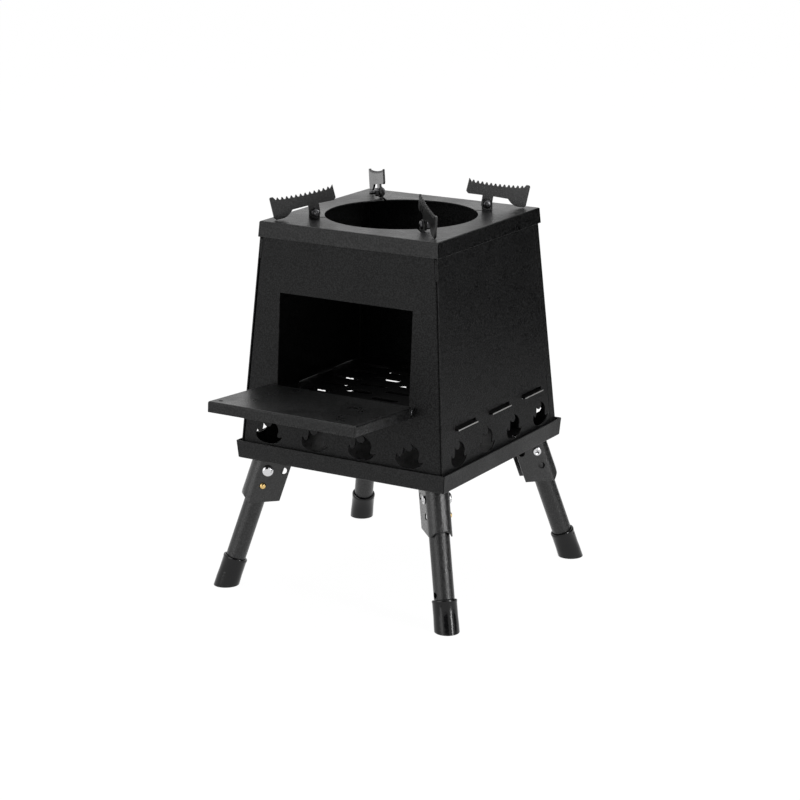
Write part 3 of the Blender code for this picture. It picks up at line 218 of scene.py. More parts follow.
class GroupKit:
    """The shader node groups that more than one finish uses, each built once."""

    FLECKS = (0.40, 0.62)
    BREAKS = (0.40, 0.62)
    EDGES = (0.995, 0.90)
    CLOUDS = (0.30, 0.70)
    SMUDGES = (0.48, 0.75)

    def __init__(self) -> None:
        """Start with no groups."""
        self.built: dict[str, NodeTree] = {}

    def start(self, name: str, inputs: dict[str, float], outputs: Iterable[str]) -> Graph | None:
        """Open a group for building, unless it is built already.

        Args:
            name: the group's name.
            inputs: its inputs and their defaults.
            outputs: its outputs.

        Returns:
            The group's graph, or None where it is there already.
        """
        if name in self.built:
            return None
        tree = bpy.data.node_groups.new(name, "ShaderNodeTree")
        new, kind = tree.interface.new_socket, "NodeSocketFloat"
        for label, value in inputs.items():
            new(label, in_out="INPUT", socket_type=kind).default_value = value
        for label in outputs:
            new(label, in_out="OUTPUT", socket_type=kind)
        self.built[name] = tree
        return Graph(tree)

    def coat_grain(self) -> NodeTree:
        """The fine orange peel of a powder coat.

        Returns:
            The group, with outputs Height and Fleck.
        """
        inputs = {"Grain Size": 1.6 * MM, "Peel Size": 3.2 * MM, "Peel Share": 0.35}
        graph = self.start("coat_grain", inputs, ("Height", "Fleck"))
        if graph:
            given = graph.add("NodeGroupInput").outputs
            grain = graph.noise(given["Grain Size"], 3.0)
            peel = graph.noise(given["Peel Size"], 1.0)
            keys = {0: given["Peel Share"], 2: grain, 3: peel}
            both = graph.add("ShaderNodeMix", keys, data_type="FLOAT").outputs[0]
            fleck = graph.ramp(grain, *self.FLECKS)
            graph.add("NodeGroupOutput", {"Height": both, "Fleck": fleck})
        return self.built["coat_grain"]

    def edge_wear(self) -> NodeTree:
        """Edges rubbed and painted lighter as a highlight: a narrow, broken line along them.

        Returns:
            The group, with output Mask.
        """
        inputs = {"Reach": 0.5 * MM, "Amount": 0.5, "Break Size": 4 * MM}
        graph = self.start("edge_wear", inputs, ("Mask",))
        if graph:
            given = graph.add("NodeGroupInput").outputs
            plain = graph.add("ShaderNodeNewGeometry").outputs["Normal"]
            rounded = graph.add("ShaderNodeBevel", {"Radius": given["Reach"]}, samples=4).outputs[0]
            # Painted highlight and wear: a narrow line along each edge, found from how far the Bevel normal
            # turns.
            turn = graph.vector_math("DOT_PRODUCT", plain, rounded).outputs["Value"]
            edge = graph.ramp(turn, *self.EDGES)
            broken = graph.ramp(graph.noise(given["Break Size"], 3.0), *self.BREAKS)
            rubbed_and_highlit = graph.math("MULTIPLY", edge, broken)
            mask = graph.math("MULTIPLY", rubbed_and_highlit, given["Amount"], clamp=True)
            graph.add("NodeGroupOutput", {"Mask": mask})
        return self.built["edge_wear"]

    def handling(self) -> NodeTree:
        """Faint clouds and smudges that vary a surface's gloss.

        Returns:
            The group, with outputs Cloud and Smudge, each from 0 to 1.
        """
        inputs = {"Cloud Size": 60 * MM, "Smudge Size": 14 * MM}
        graph = self.start("handling", inputs, ("Cloud", "Smudge"))
        if graph:
            given = graph.add("NodeGroupInput").outputs
            cloud = graph.ramp(graph.noise(given["Cloud Size"], 2.0), *self.CLOUDS)
            smudge = graph.ramp(graph.noise(given["Smudge Size"], 4.0), *self.SMUDGES)
            graph.add("NodeGroupOutput", {"Cloud": cloud, "Smudge": smudge})
        return self.built["handling"]

    def use(self, graph: Graph, tree: NodeTree, **values: float) -> Any:
        """Place a group in a material.

        Args:
            graph: the material's graph.
            tree: the group.
            values: its inputs by name, with underscores for spaces.

        Returns:
            The placed group's outputs.
        """
        node = graph.add("ShaderNodeGroup", node_tree=tree)
        graph.feed(node, {key.replace("_", " ").title(): value for key, value in values.items()})
        return node.outputs


GROUPS = GroupKit()


def rgba(colour: Colour) -> tuple[float, float, float, float]:
    """The colour with full alpha."""
    return (*colour, 1.0)


def new_surface(name: str) -> tuple[Material, Graph, Node]:
    """Start a material that holds one Principled shader.

    Args:
        name: the material's name.

    Returns:
        The material, its graph and its shader.
    """
    material = bpy.data.materials.new(name)
    material.use_nodes = True
    return material, Graph(material.node_tree), material.node_tree.nodes["Principled BSDF"]


@dataclass(frozen=True)
class PowderCoat:
    """Textured black powder coat on sheet steel, its edges worn and painted light as a highlight."""

    name: str
    colour: Colour = (0.0005, 0.0005, 0.0006)
    fleck_colour: Colour = (0.0145, 0.0148, 0.0151)
    worn_colour: Colour = (0.10, 0.10, 0.098)
    roughness: float = 0.46
    gloss_swing: float = 0.08
    specular: float = 0.15
    grain: float = 1.15 * MM
    peel: float = 3.2 * MM
    peel_share: float = 0.15
    depth: float = 0.32 * MM
    relief: float = 0.9
    # How strongly the edges are painted light: partly wear, partly painted highlight.
    wear: float = 0.35
    wear_reach: float = 0.6 * MM
    # A pale spot painted into the coat around this point.
    nick: Point | None = None
    nick_radius: float = 0.9 * MM
    nick_fade: float = 1.7
    nick_ragged: float = 0.8 * MM

    def material(self) -> Material:
        """Build the coat's material.

        Returns:
            The material.
        """
        material, graph, shader = new_surface(self.name)
        grain = GROUPS.use(
            graph, GROUPS.coat_grain(),
            grain_size=self.grain, peel_size=self.peel, peel_share=self.peel_share,
        )
        worn_and_highlit = GROUPS.use(graph, GROUPS.edge_wear(), reach=self.wear_reach, amount=self.wear)
        hands = GROUPS.use(graph, GROUPS.handling())
        flecked = graph.mix(grain["Fleck"], rgba(self.colour), rgba(self.fleck_colour))
        half = self.gloss_swing / 2
        base = self.roughness - half
        swing = graph.math("MULTIPLY_ADD", hands["Cloud"], self.gloss_swing, base)
        # Worn edges, which also stand for painted highlights, and the painted pale spot take the worn
        # colour.
        pale_marks = self.nicked(graph, worn_and_highlit["Mask"])
        graph.feed(shader, {
            "Base Color": graph.mix(pale_marks, flecked, rgba(self.worn_colour)),
            "Roughness": graph.math("MULTIPLY_ADD", hands["Smudge"], -half, swing, clamp=True),
            "Specular IOR Level": self.specular,
            "Normal": graph.bump(grain["Height"], self.depth, self.relief),
        })
        return material

    def nicked(self, graph: Graph, worn_and_highlit: NodeSocket) -> NodeSocket:
        """Add the coat's painted pale spot, where it has one, to its worn and highlighted edges.

        Args:
            graph: the material's graph.
            worn_and_highlit: the mask of the worn edges, also painted as a highlight.

        Returns:
            The mask of all that is painted pale: worn, highlighted edges and the pale spot.
        """
        if not self.nick:
            return worn_and_highlit
        # Paint a ragged pale spot around the given point.
        offset = graph.vector_math("SUBTRACT", graph.place(), self.nick).outputs["Vector"]
        away = graph.vector_math("LENGTH", offset).outputs["Value"]
        rough_edge = graph.math("MULTIPLY", graph.noise(self.nick_ragged), self.nick_radius)
        ragged = graph.math("ADD", away, rough_edge)
        spot = graph.ramp(ragged, self.nick_fade * self.nick_radius, self.nick_radius)
        return graph.math("MAXIMUM", worn_and_highlit, spot)


@dataclass(frozen=True)
class BareMetal:
    """Plated or plain metal with fine scratches along one direction."""

    name: str
    colour: Colour
    roughness: float
    stain_colour: Colour
    stain: float = 0.15
    swing: float = 0.12
    scratch: float = 0.12 * MM
    depth: float = 0.004 * MM
    relief: float = 0.5
    cloud: float = 6 * MM
    smudge: float = 1.5 * MM
    stretch: tuple[float, float, float] = (1.0, 1.0, 0.15)

    def material(self) -> Material:
        """Build the metal's material.

        Returns:
            The material.
        """
        material, graph, shader = new_surface(self.name)
        hands = GROUPS.use(
            graph, GROUPS.handling(), cloud_size=self.cloud, smudge_size=self.smudge
        )
        along = graph.vector_math("MULTIPLY", graph.place(), self.stretch).outputs["Vector"]
        scratch = graph.noise(self.scratch, 2.0, along)
        stain = graph.math("MULTIPLY", hands["Smudge"], self.stain)
        base = self.roughness - self.swing / 2
        graph.feed(shader, {
            "Base Color": graph.mix(stain, rgba(self.colour), rgba(self.stain_colour)),
            "Roughness": graph.math("MULTIPLY_ADD", scratch, self.swing, base, clamp=True),
            "Metallic": 1.0,
            "Normal": graph.bump(scratch, self.depth, self.relief),
        })
        return material


@dataclass(frozen=True)
class MouldedCap:
    """Glossy black moulded plastic with a faint ripple and scuffs near the ground."""

    name: str
    colour: Colour = (0.004, 0.004, 0.0044)
    scuff_colour: Colour = (0.03, 0.03, 0.03)
    scuff_height: float = 5 * MM
    scuff_share: float = 0.7
    scuff_roughness: float = 0.4
    roughness: float = 0.12
    gloss_swing: float = 0.06
    specular: float = 0.28
    ripple: float = 2.2 * MM
    depth: float = 0.14 * MM
    relief: float = 0.6
    cloud: float = 9 * MM
    smudge: float = 2.5 * MM

    def material(self) -> Material:
        """Build the plastic's material.

        Returns:
            The material.
        """
        material, graph, shader = new_surface(self.name)
        hands = GROUPS.use(
            graph, GROUPS.handling(), cloud_size=self.cloud, smudge_size=self.smudge
        )
        height = graph.add("ShaderNodeSeparateXYZ", {0: graph.place()}).outputs["Z"]
        low = graph.ramp(height, self.scuff_height, 0.0)
        smudged = graph.math("MULTIPLY", low, hands["Smudge"])
        scuff = graph.math("MULTIPLY", smudged, self.scuff_share)
        gloss = graph.math("MULTIPLY_ADD", hands["Cloud"], self.gloss_swing, self.roughness)
        rough = graph.math("MULTIPLY_ADD", scuff, self.scuff_roughness, gloss, clamp=True)
        graph.feed(shader, {
            "Base Color": graph.mix(scuff, rgba(self.colour), rgba(self.scuff_colour)),
            "Roughness": rough,
            "Specular IOR Level": self.specular,
            "Normal": graph.bump(graph.noise(self.ripple, 2.0), self.depth, self.relief),
        })
        return material


class Paintbox:
    """Every finish of the stove, made once."""

    def __init__(self, nick: Point) -> None:
        """Build the materials.

        Args:
            nick: where the front wall's coat has a painted pale spot.
        """
        self.wall = PowderCoat("wall_coat").material()
        self.front = PowderCoat("front_coat", nick=nick).material()
        self.plate = PowderCoat(
            "plate_coat", roughness=0.34, specular=0.25, grain=1.5 * MM, peel=5.5 * MM,
            peel_share=0.5, depth=0.65 * MM, gloss_swing=0.10,
        ).material()
        self.arm = PowderCoat(
            "support_coat", roughness=0.26, specular=0.45, depth=0.16 * MM
        ).material()
        self.leg = PowderCoat(
            "leg_coat", roughness=0.30, specular=0.45, grain=1.3 * MM, depth=0.42 * MM
        ).material()
        self.tray = PowderCoat("tray_coat", specular=0.21).material()
        self.bracket = PowderCoat(
            "bracket_coat", roughness=0.28, specular=0.55, grain=1.3 * MM, depth=0.40 * MM
        ).material()
        # The grate's flecks are darker than the walls': partly its own dark steel, partly painted shade for
        # the tab tops in their slots.
        self.grate = PowderCoat(
            "grate_coat", fleck_colour=(0.004, 0.004, 0.004), roughness=0.5, specular=0.10, wear=0.1
        ).material()
        self.cut_edge, self.chrome, self.blackened, self.brass, self.spring = (
            BareMetal(*values).material()
            for values in (
                ("raw_cut_edge", (0.38, 0.38, 0.37), 0.40, (0.3, 0.29, 0.28), 0.4),
                ("bright_plating", (0.62, 0.62, 0.63), 0.12, (0.35, 0.35, 0.36)),
                ("blackened_steel", (0.075, 0.075, 0.078), 0.30, (0.03, 0.03, 0.03)),
                ("plain_brass", (0.72, 0.50, 0.20), 0.24, (0.30, 0.19, 0.07), 0.35),
                ("spring_leaf", (0.42, 0.42, 0.43), 0.32, (0.2, 0.2, 0.2), 0.3),
            )
        )
        self.cap = MouldedCap("moulded_cap").material()


def placed(name: str, data: bpy.types.ID) -> Object:
    """Put a mesh, a lamp or a camera into the scene.

    Args:
        name: the object's name.
        data: what it holds.

    Returns:
        The object, at the origin.
    """
    obj = bpy.data.objects.new(name, data)
    bpy.context.scene.collection.objects.link(obj)
    return obj


def mesh_of(name: str, bm: bmesh.types.BMesh) -> Mesh:
    """Turn a finished bmesh into a mesh.

    Args:
        name: the mesh's name.
        bm: the bmesh, which is freed.

    Returns:
        The mesh.
    """
    mesh = bpy.data.meshes.new(name)
    bm.to_mesh(mesh)
    bm.free()
    return mesh


def smoothed(mesh: Mesh) -> None:
    """Shade a mesh smooth, with its real edges kept sharp."""
    mesh.shade_smooth()
    mesh.set_sharp_from_angle(angle=SHARP_FROM)


@dataclass
class Bench:
    """Makes finished pieces from the frame's nodes and from turned profiles."""

    frame: dict[str, Any]
    made: list[str] = field(default_factory=list)
    flat_within: float = math.radians(0.4)
    round_from: float = math.radians(38)
    round_steps: int = 2
    face_weight: int = 60

    def joint(self, name: str, key: str) -> Vector:
        """A joint's point, pos_m, or its axis, as the frame gives it."""
        return Vector(next(row[key] for row in self.frame["joints"] if row["name"] == name))

    def merged(self, node: str) -> Mesh:
        """Copy a node's mesh with its loose triangles joined and its flats cleaned.

        Args:
            node: the node's name.

        Returns:
            The joined mesh.
        """
        mesh = self.frame["nodes"][node].data.copy()
        mesh.materials.clear()
        bm = bmesh.new()
        bm.from_mesh(mesh)
        bmesh.ops.remove_doubles(bm, verts=bm.verts, dist=WELD / 2)
        bmesh.ops.dissolve_degenerate(bm, dist=WELD / 2, edges=bm.edges)
        bmesh.ops.dissolve_limit(bm, angle_limit=self.flat_within, verts=bm.verts, edges=bm.edges)
        bmesh.ops.recalc_face_normals(bm, faces=bm.faces)
        bm.to_mesh(mesh)
        bm.free()
        for name in list(mesh.attributes.keys()):
            if name.startswith("custom_normal"):
                mesh.attributes.remove(mesh.attributes[name])
        return mesh

    def baked(self, obj: Object) -> Object:
        """Replace an object by its evaluated shape, with no modifiers left.

        Args:
            obj: the object, which is removed.

        Returns:
            A plain mesh object of the same name.
        """
        graph = bpy.context.evaluated_depsgraph_get()
        mesh = bpy.data.meshes.new_from_object(
            obj.evaluated_get(graph), preserve_all_data_layers=True, depsgraph=graph
        )
        name = obj.name
        bpy.data.objects.remove(obj)
        return placed(name, mesh)

    def rounded(self, name: str, node: str, material: Material, edge: float = 0.22 * MM) -> Object:
        """Make a sheet part from its node, with its raw edges rounded as a coat rounds them.

        Args:
            name: the piece's name.
            node: the node it is made from.
            material: its finish.
            edge: how far in from each edge the rounding starts.

        Returns:
            The piece.
        """
        mesh = self.merged(node)
        mesh.shade_smooth()
        mesh.materials.append(material)
        obj = placed(name, mesh)
        bevel = obj.modifiers.new("rounded_edges", "BEVEL")
        bevel.width = edge
        bevel.segments = self.round_steps
        bevel.limit_method = "ANGLE"
        bevel.angle_limit = self.round_from
        bevel.use_clamp_overlap = False
        weighted = obj.modifiers.new("flat_faces", "WEIGHTED_NORMAL")
        weighted.mode = "FACE_AREA"
        weighted.weight = self.face_weight
        weighted.keep_sharp = True
        return self.baked(obj)

    def turned(
        self, name: str, profile: Profile, material: Material, place: Matrix, steps: int = 48
    ) -> Object:
        """Make a solid of revolution about local Z and put it in place.

        Args:
            name: the piece's name.
            profile: (radius, height) points from one end of the axis to the other.
            material: its finish.
            place: from the profile's axes to the frame's.
            steps: how many sides it has.

        Returns:
            The piece.
        """
        bm = bmesh.new()
        verts = [bm.verts.new((radius, 0.0, height)) for radius, height in profile]
        edges = [bm.edges.new(pair) for pair in zip(verts, verts[1:])]
        bmesh.ops.spin(
            bm, geom=verts + edges, axis=(0, 0, 1), cent=(0, 0, 0), angle=2 * math.pi, steps=steps
        )
        bmesh.ops.remove_doubles(bm, verts=bm.verts, dist=WELD / 10)
        bmesh.ops.recalc_face_normals(bm, faces=bm.faces)
        mesh = mesh_of(name, bm)
        mesh.transform(place)
        mesh.materials.append(material)
        smoothed(mesh)
        return placed(name, mesh)

    def fit(self, obj: Object, body: str, slot: Slot, *nodes: str) -> None:
        """Fix a finished piece to its body.

        Args:
            obj: the piece.
            body: the body that it rides on.
            slot: the record's material slot of its finish.
            nodes: the nodes that it replaces.
        """
        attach(obj, body)
        self.enter(obj, body, slot, *nodes)

    def enter(self, obj: Object, bodies: str, slot: Slot, *nodes: str) -> None:
        """Hide the nodes that a moving piece stands for, list the piece and log it.

        Args:
            obj: the piece.
            bodies: what it moves with, for the log.
            slot: the record's material slot of its finish; not used.
            nodes: the nodes that it replaces.
        """
        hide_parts(*nodes)
        self.made.append(obj.name)
        LOG.info("%s moves with %s and stands for %s", obj.name, bodies, ", ".join(nodes))


class ShapeTree:
    """A Geometry Nodes tree that makes one repeated shape, with its own finish."""

    def __init__(self, bench: Bench, name: str, sockets: dict[str, str]) -> None:
        """Open the tree.

        Args:
            bench: makes plain meshes of what the tree gives.
            name: the tree's name.
            sockets: its inputs and their kinds, apart from the finish.
        """
        tree = bpy.data.node_groups.new(name, "GeometryNodeTree")
        tree.is_modifier = True
        new = tree.interface.new_socket
        self.keys = {
            label: new(label, in_out="INPUT", socket_type=f"NodeSocket{kind}").identifier
            for label, kind in (sockets | {"Finish": "Material"}).items()
        }
        new("Shape", in_out="OUTPUT", socket_type="NodeSocketGeometry")
        self.bench = bench
        self.graph = Graph(tree)
        self.given = self.graph.add("NodeGroupInput").outputs

    def close(self, shape: NodeSocket) -> None:
        """Give the tree's shape its finish and put it out.

        Args:
            shape: the shape, which may hold instances.
        """
        solid = self.graph.add("GeometryNodeRealizeInstances", {"Geometry": shape}).outputs[0]
        keys = {"Geometry": solid, "Material": self.given["Finish"]}
        finished = self.graph.add("GeometryNodeSetMaterial", keys).outputs[0]
        self.graph.add("NodeGroupOutput", {0: finished})

    def run(self, name: str, values: dict[str, Any]) -> Object:
        """Make the tree's shape as a plain mesh.

        Args:
            name: the object's name.
            values: the tree's inputs.

        Returns:
            The object.
        """
        obj = placed(name, bpy.data.meshes.new(name))
        modifier = obj.modifiers.new(self.graph.tree.name, "NODES")
        modifier.node_group = self.graph.tree
        for label, value in values.items():
            modifier[self.keys[label]] = value
        return self.bench.baked(obj)


class CornerRing(ShapeTree):
    """Stands a fastener at each corner of a square part."""

    NUMBERS = ("Ring Radius", "Height", "First Turn", "Turn Step")

    def __init__(self, bench: Bench, centre: Vector) -> None:
        """Build the tree.

        Args:
            bench: makes the plain meshes.
            centre: the foot of the stove's axis.
        """
        kinds = {"Piece": "Object", "Count": "Int", "Centre": "Vector"}
        super().__init__(bench, "corner_fasteners", kinds | dict.fromkeys(self.NUMBERS, "Float"))
        self.centre = centre
        graph, given = self.graph, self.given
        index = graph.add("GeometryNodeInputIndex").outputs[0]
        turn = graph.math("MULTIPLY_ADD", index, given["Turn Step"], given["First Turn"])
        x = graph.math("MULTIPLY", graph.math("COSINE", turn), given["Ring Radius"])
        y = graph.math("MULTIPLY", graph.math("SINE", turn), given["Ring Radius"])
        keys = {"X": x, "Y": y, "Z": given["Height"]}
        spot = graph.add("ShaderNodeCombineXYZ", keys).outputs[0]
        centred = graph.vector_math("ADD", spot, given["Centre"]).outputs["Vector"]
        keys = {"Count": given["Count"], "Position": centred}
        points = graph.add("GeometryNodePoints", keys).outputs[0]
        euler = graph.add("ShaderNodeCombineXYZ", {"Z": turn}).outputs[0]
        facing = graph.add("FunctionNodeEulerToRotation", {0: euler}).outputs[0]
        info = graph.add("GeometryNodeObjectInfo", {"Object": given["Piece"]})
        keys = {"Points": points, "Instance": info.outputs["Geometry"], "Rotation": facing}
        self.close(graph.add("GeometryNodeInstanceOnPoints", keys).outputs[0])

    def stand(
        self, name: str, piece: Object, ring: tuple[float, float], body: str, slot: Slot, kind: str
    ) -> None:
        """Stand a piece at every corner, and fix the four to a body.

        Args:
            name: the result's name.
            piece: the fastener, which is removed: X outwards, Z up about the ring's point.
            ring: the ring's radius and its height above the centre.
            body: what the four ride on.
            slot: the material slot of their finish.
            kind: the first part of the nodes' names.
        """
        made = self.run(name, {
            "Piece": piece,
            "Count": len(Corner),
            "Centre": tuple(self.centre),
            "Finish": piece.data.materials[0],
            "Ring Radius": ring[0],
            "Height": ring[1],
            "First Turn": Corner.FRONT_RIGHT.angle,
            "Turn Step": math.pi / 2,
        })
        bpy.data.objects.remove(piece)
        self.bench.fit(made, body, slot, *(f"{kind}_{corner.label}" for corner in Corner))


class ScrewThread(ShapeTree):
    """Winds a screw's thread round its shank."""

    RIDGE_SHARE = 0.32

    def __init__(self, bench: Bench) -> None:
        """Build the tree.

        Args:
            bench: makes the plain meshes.
        """
        labels = ("Radius", "Length", "Pitch", "Ridge")
        super().__init__(bench, "screw_thread", dict.fromkeys(labels, "Float"))
        graph, given = self.graph, self.given
        keys = {
            "Resolution": 16,
            "Rotations": graph.math("DIVIDE", given["Length"], given["Pitch"]),
            "Start Radius": given["Radius"],
            "End Radius": given["Radius"],
            "Height": given["Length"],
        }
        helix = graph.add("GeometryNodeCurveSpiral", keys).outputs[0]
        keys = {"Resolution": 4, "Radius": given["Ridge"]}
        ridge = graph.add("GeometryNodeCurvePrimitiveCircle", keys).outputs[0]
        keys = {"Curve": helix, "Profile Curve": ridge, "Fill Caps": True}
        self.close(graph.add("GeometryNodeCurveToMesh", keys).outputs[0])

    def wind(
        self, name: str, radius: float, length: float, pitch: float, finish: Material
    ) -> Object:
        """Wind a thread up local Z from the origin.

        Args:
            name: the object's name.
            radius: the shank's radius.
            length: the thread's length.
            pitch: its pitch.
            finish: its finish.

        Returns:
            The thread's object.
        """
        sizes = {"Radius": radius, "Length": length, "Pitch": pitch}
        return self.run(name, {**sizes, "Ridge": pitch * self.RIDGE_SHARE, "Finish": finish})


def dome(radius: float, height: float, base: float, brim: float = 0.25, steps: int = 9) -> list:
    """Profile points of a domed head, from its crown down to its brim.

    Args:
        radius: the head's radius.
        height: the crown's height above base.
        base: the height of the head's underside.
        brim: the upright share of the height.
        steps: how many points the dome has.

    Returns:
        (radius, height) points.
    """
    angles = [math.pi / 2 * i / steps for i in range(steps + 1)]
    return [
        (radius * math.sin(a), base + height * (brim + (1 - brim) * math.cos(a))) for a in angles
    ]


def joined(name: str, parts: Sequence[Object]) -> Object:
    """Put several objects' meshes into one object, closed shapes side by side.

    Args:
        name: the result's name.
        parts: the objects, which are removed.

    Returns:
        The joined object.
    """
    bm = bmesh.new()
    for part in parts:
        bm.from_mesh(part.data)
    mesh = mesh_of(name, bm)
    for material in parts[0].data.materials:
        mesh.materials.append(material)
    for part in parts:
        bpy.data.objects.remove(part)
    smoothed(mesh)
    return placed(name, mesh)


def sideways(turn: float = -math.pi / 2) -> Matrix:
    """Lays a piece drawn along Z down, to run along local Y."""
    return Matrix.Rotation(turn, 4, "X")


def boolean_cut(obj: Object, tools: Sequence[Object], operation: str = "DIFFERENCE") -> None:
    """Cut tools out of an object's mesh, or join them to it, and remove the tools.

    Args:
        obj: the object that is cut, and keeps its name.
        tools: the cutters.
        operation: the boolean's kind, DIFFERENCE or UNION.
    """
    for tool in tools:
        modifier = obj.modifiers.new("cut", "BOOLEAN")
        modifier.operation = operation
        modifier.object = tool
    graph = bpy.context.evaluated_depsgraph_get()
    mesh = bpy.data.meshes.new_from_object(obj.evaluated_get(graph))
    obj.modifiers.clear()
    obj.data = mesh
    for tool in tools:
        bpy.data.objects.remove(tool)
    smoothed(mesh)


def block(name: str, low: Sequence[float], high: Sequence[float]) -> Object:
    """A plain box, used as a cutter.

    Args:
        name: its name.
        low: its lowest corner.
        high: its highest corner.

    Returns:
        The box.
    """
    bm = bmesh.new()
    bmesh.ops.create_cube(bm, size=1)
    bmesh.ops.scale(bm, vec=Vector(high) - Vector(low), verts=bm.verts)
    bmesh.ops.translate(bm, vec=(Vector(high) + Vector(low)) / 2, verts=bm.verts)
    return placed(name, mesh_of(name, bm))


@dataclass
class Firebox:
    """Tray, walls and grate."""

    bench: Bench
    paint: Paintbox
    tab_reach: float = 0.6 * MM
    coated_lip: float = 0.3 * MM

    def dress(self) -> None:
        """Make the walls, the tray and the grate."""
        for name, node, finish in (
            ("front_wall", "front_panel", self.paint.front),
            ("back_wall", "back_panel", self.paint.wall),
            ("left_wall", "left_panel", self.paint.wall),
            ("right_wall", "right_panel", self.paint.wall),
            ("tray", "base_tray", self.paint.tray),
        ):
            self.bench.fit(self.bench.rounded(name, node, finish), "stove", Slot.COAT, node)
        self.grate()

    def grate(self) -> None:
        """Make the grate, whose tabs end in bare cut edges outside the walls."""
        piece = self.bench.rounded("fire_grate", "grate", self.paint.grate)
        piece.data.materials.append(self.paint.cut_edge)
        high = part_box("grate")[1]
        for face in piece.data.polygons:
            x, _y, z = face.center
            if abs(x) > high.x - self.tab_reach and z < high.z - self.coated_lip:
                face.material_index = 1
        self.bench.fit(piece, "stove", Slot.GRATE, "grate")


@dataclass
class FeedDoor:
    """The feed door, open as a shelf, and its two hinge pins."""

    bench: Bench
    paint: Paintbox
    edge: float = 0.25 * MM
    pin_radius: float = 1.5 * MM
    head_radius: float = 2.8 * MM
    formed_share: float = 0.85
    head: float = 0.9 * MM

    def dress(self) -> None:
        """Make the door and its pins."""
        door = self.bench.rounded("shelf_door", "feed_door", self.paint.plate, self.edge)
        self.bench.fit(door, "door", Slot.COAT, "feed_door")
        pivot = self.bench.joint("door_hinge", "pos_m")
        for side, label in ((-1, "left"), (1, "right")):
            node = f"door_pin_{label}"
            inner, outer = sorted(abs(corner.x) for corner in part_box(node))
            formed = self.head_radius * self.formed_share
            profile = [
                *dome(self.head_radius, self.head, outer - self.head, 0.3),
                (self.head_radius, outer - self.head), (self.pin_radius, outer - self.head),
                (self.pin_radius, inner + self.head), (formed, inner + self.head),
                (formed * 0.92, inner + self.head * 0.45), (formed * 0.6, inner), (0.0, inner),
            ]
            turn = Matrix.Rotation(side * math.pi / 2, 4, "Y")
            place = Matrix.Translation((0, pivot.y, pivot.z)) @ turn
            name = f"hinge_pin_{label}"
            pin = self.bench.turned(name, profile, self.paint.blackened, place, steps=32)
            self.bench.fit(pin, "stove", Slot.BLACKENED, node)


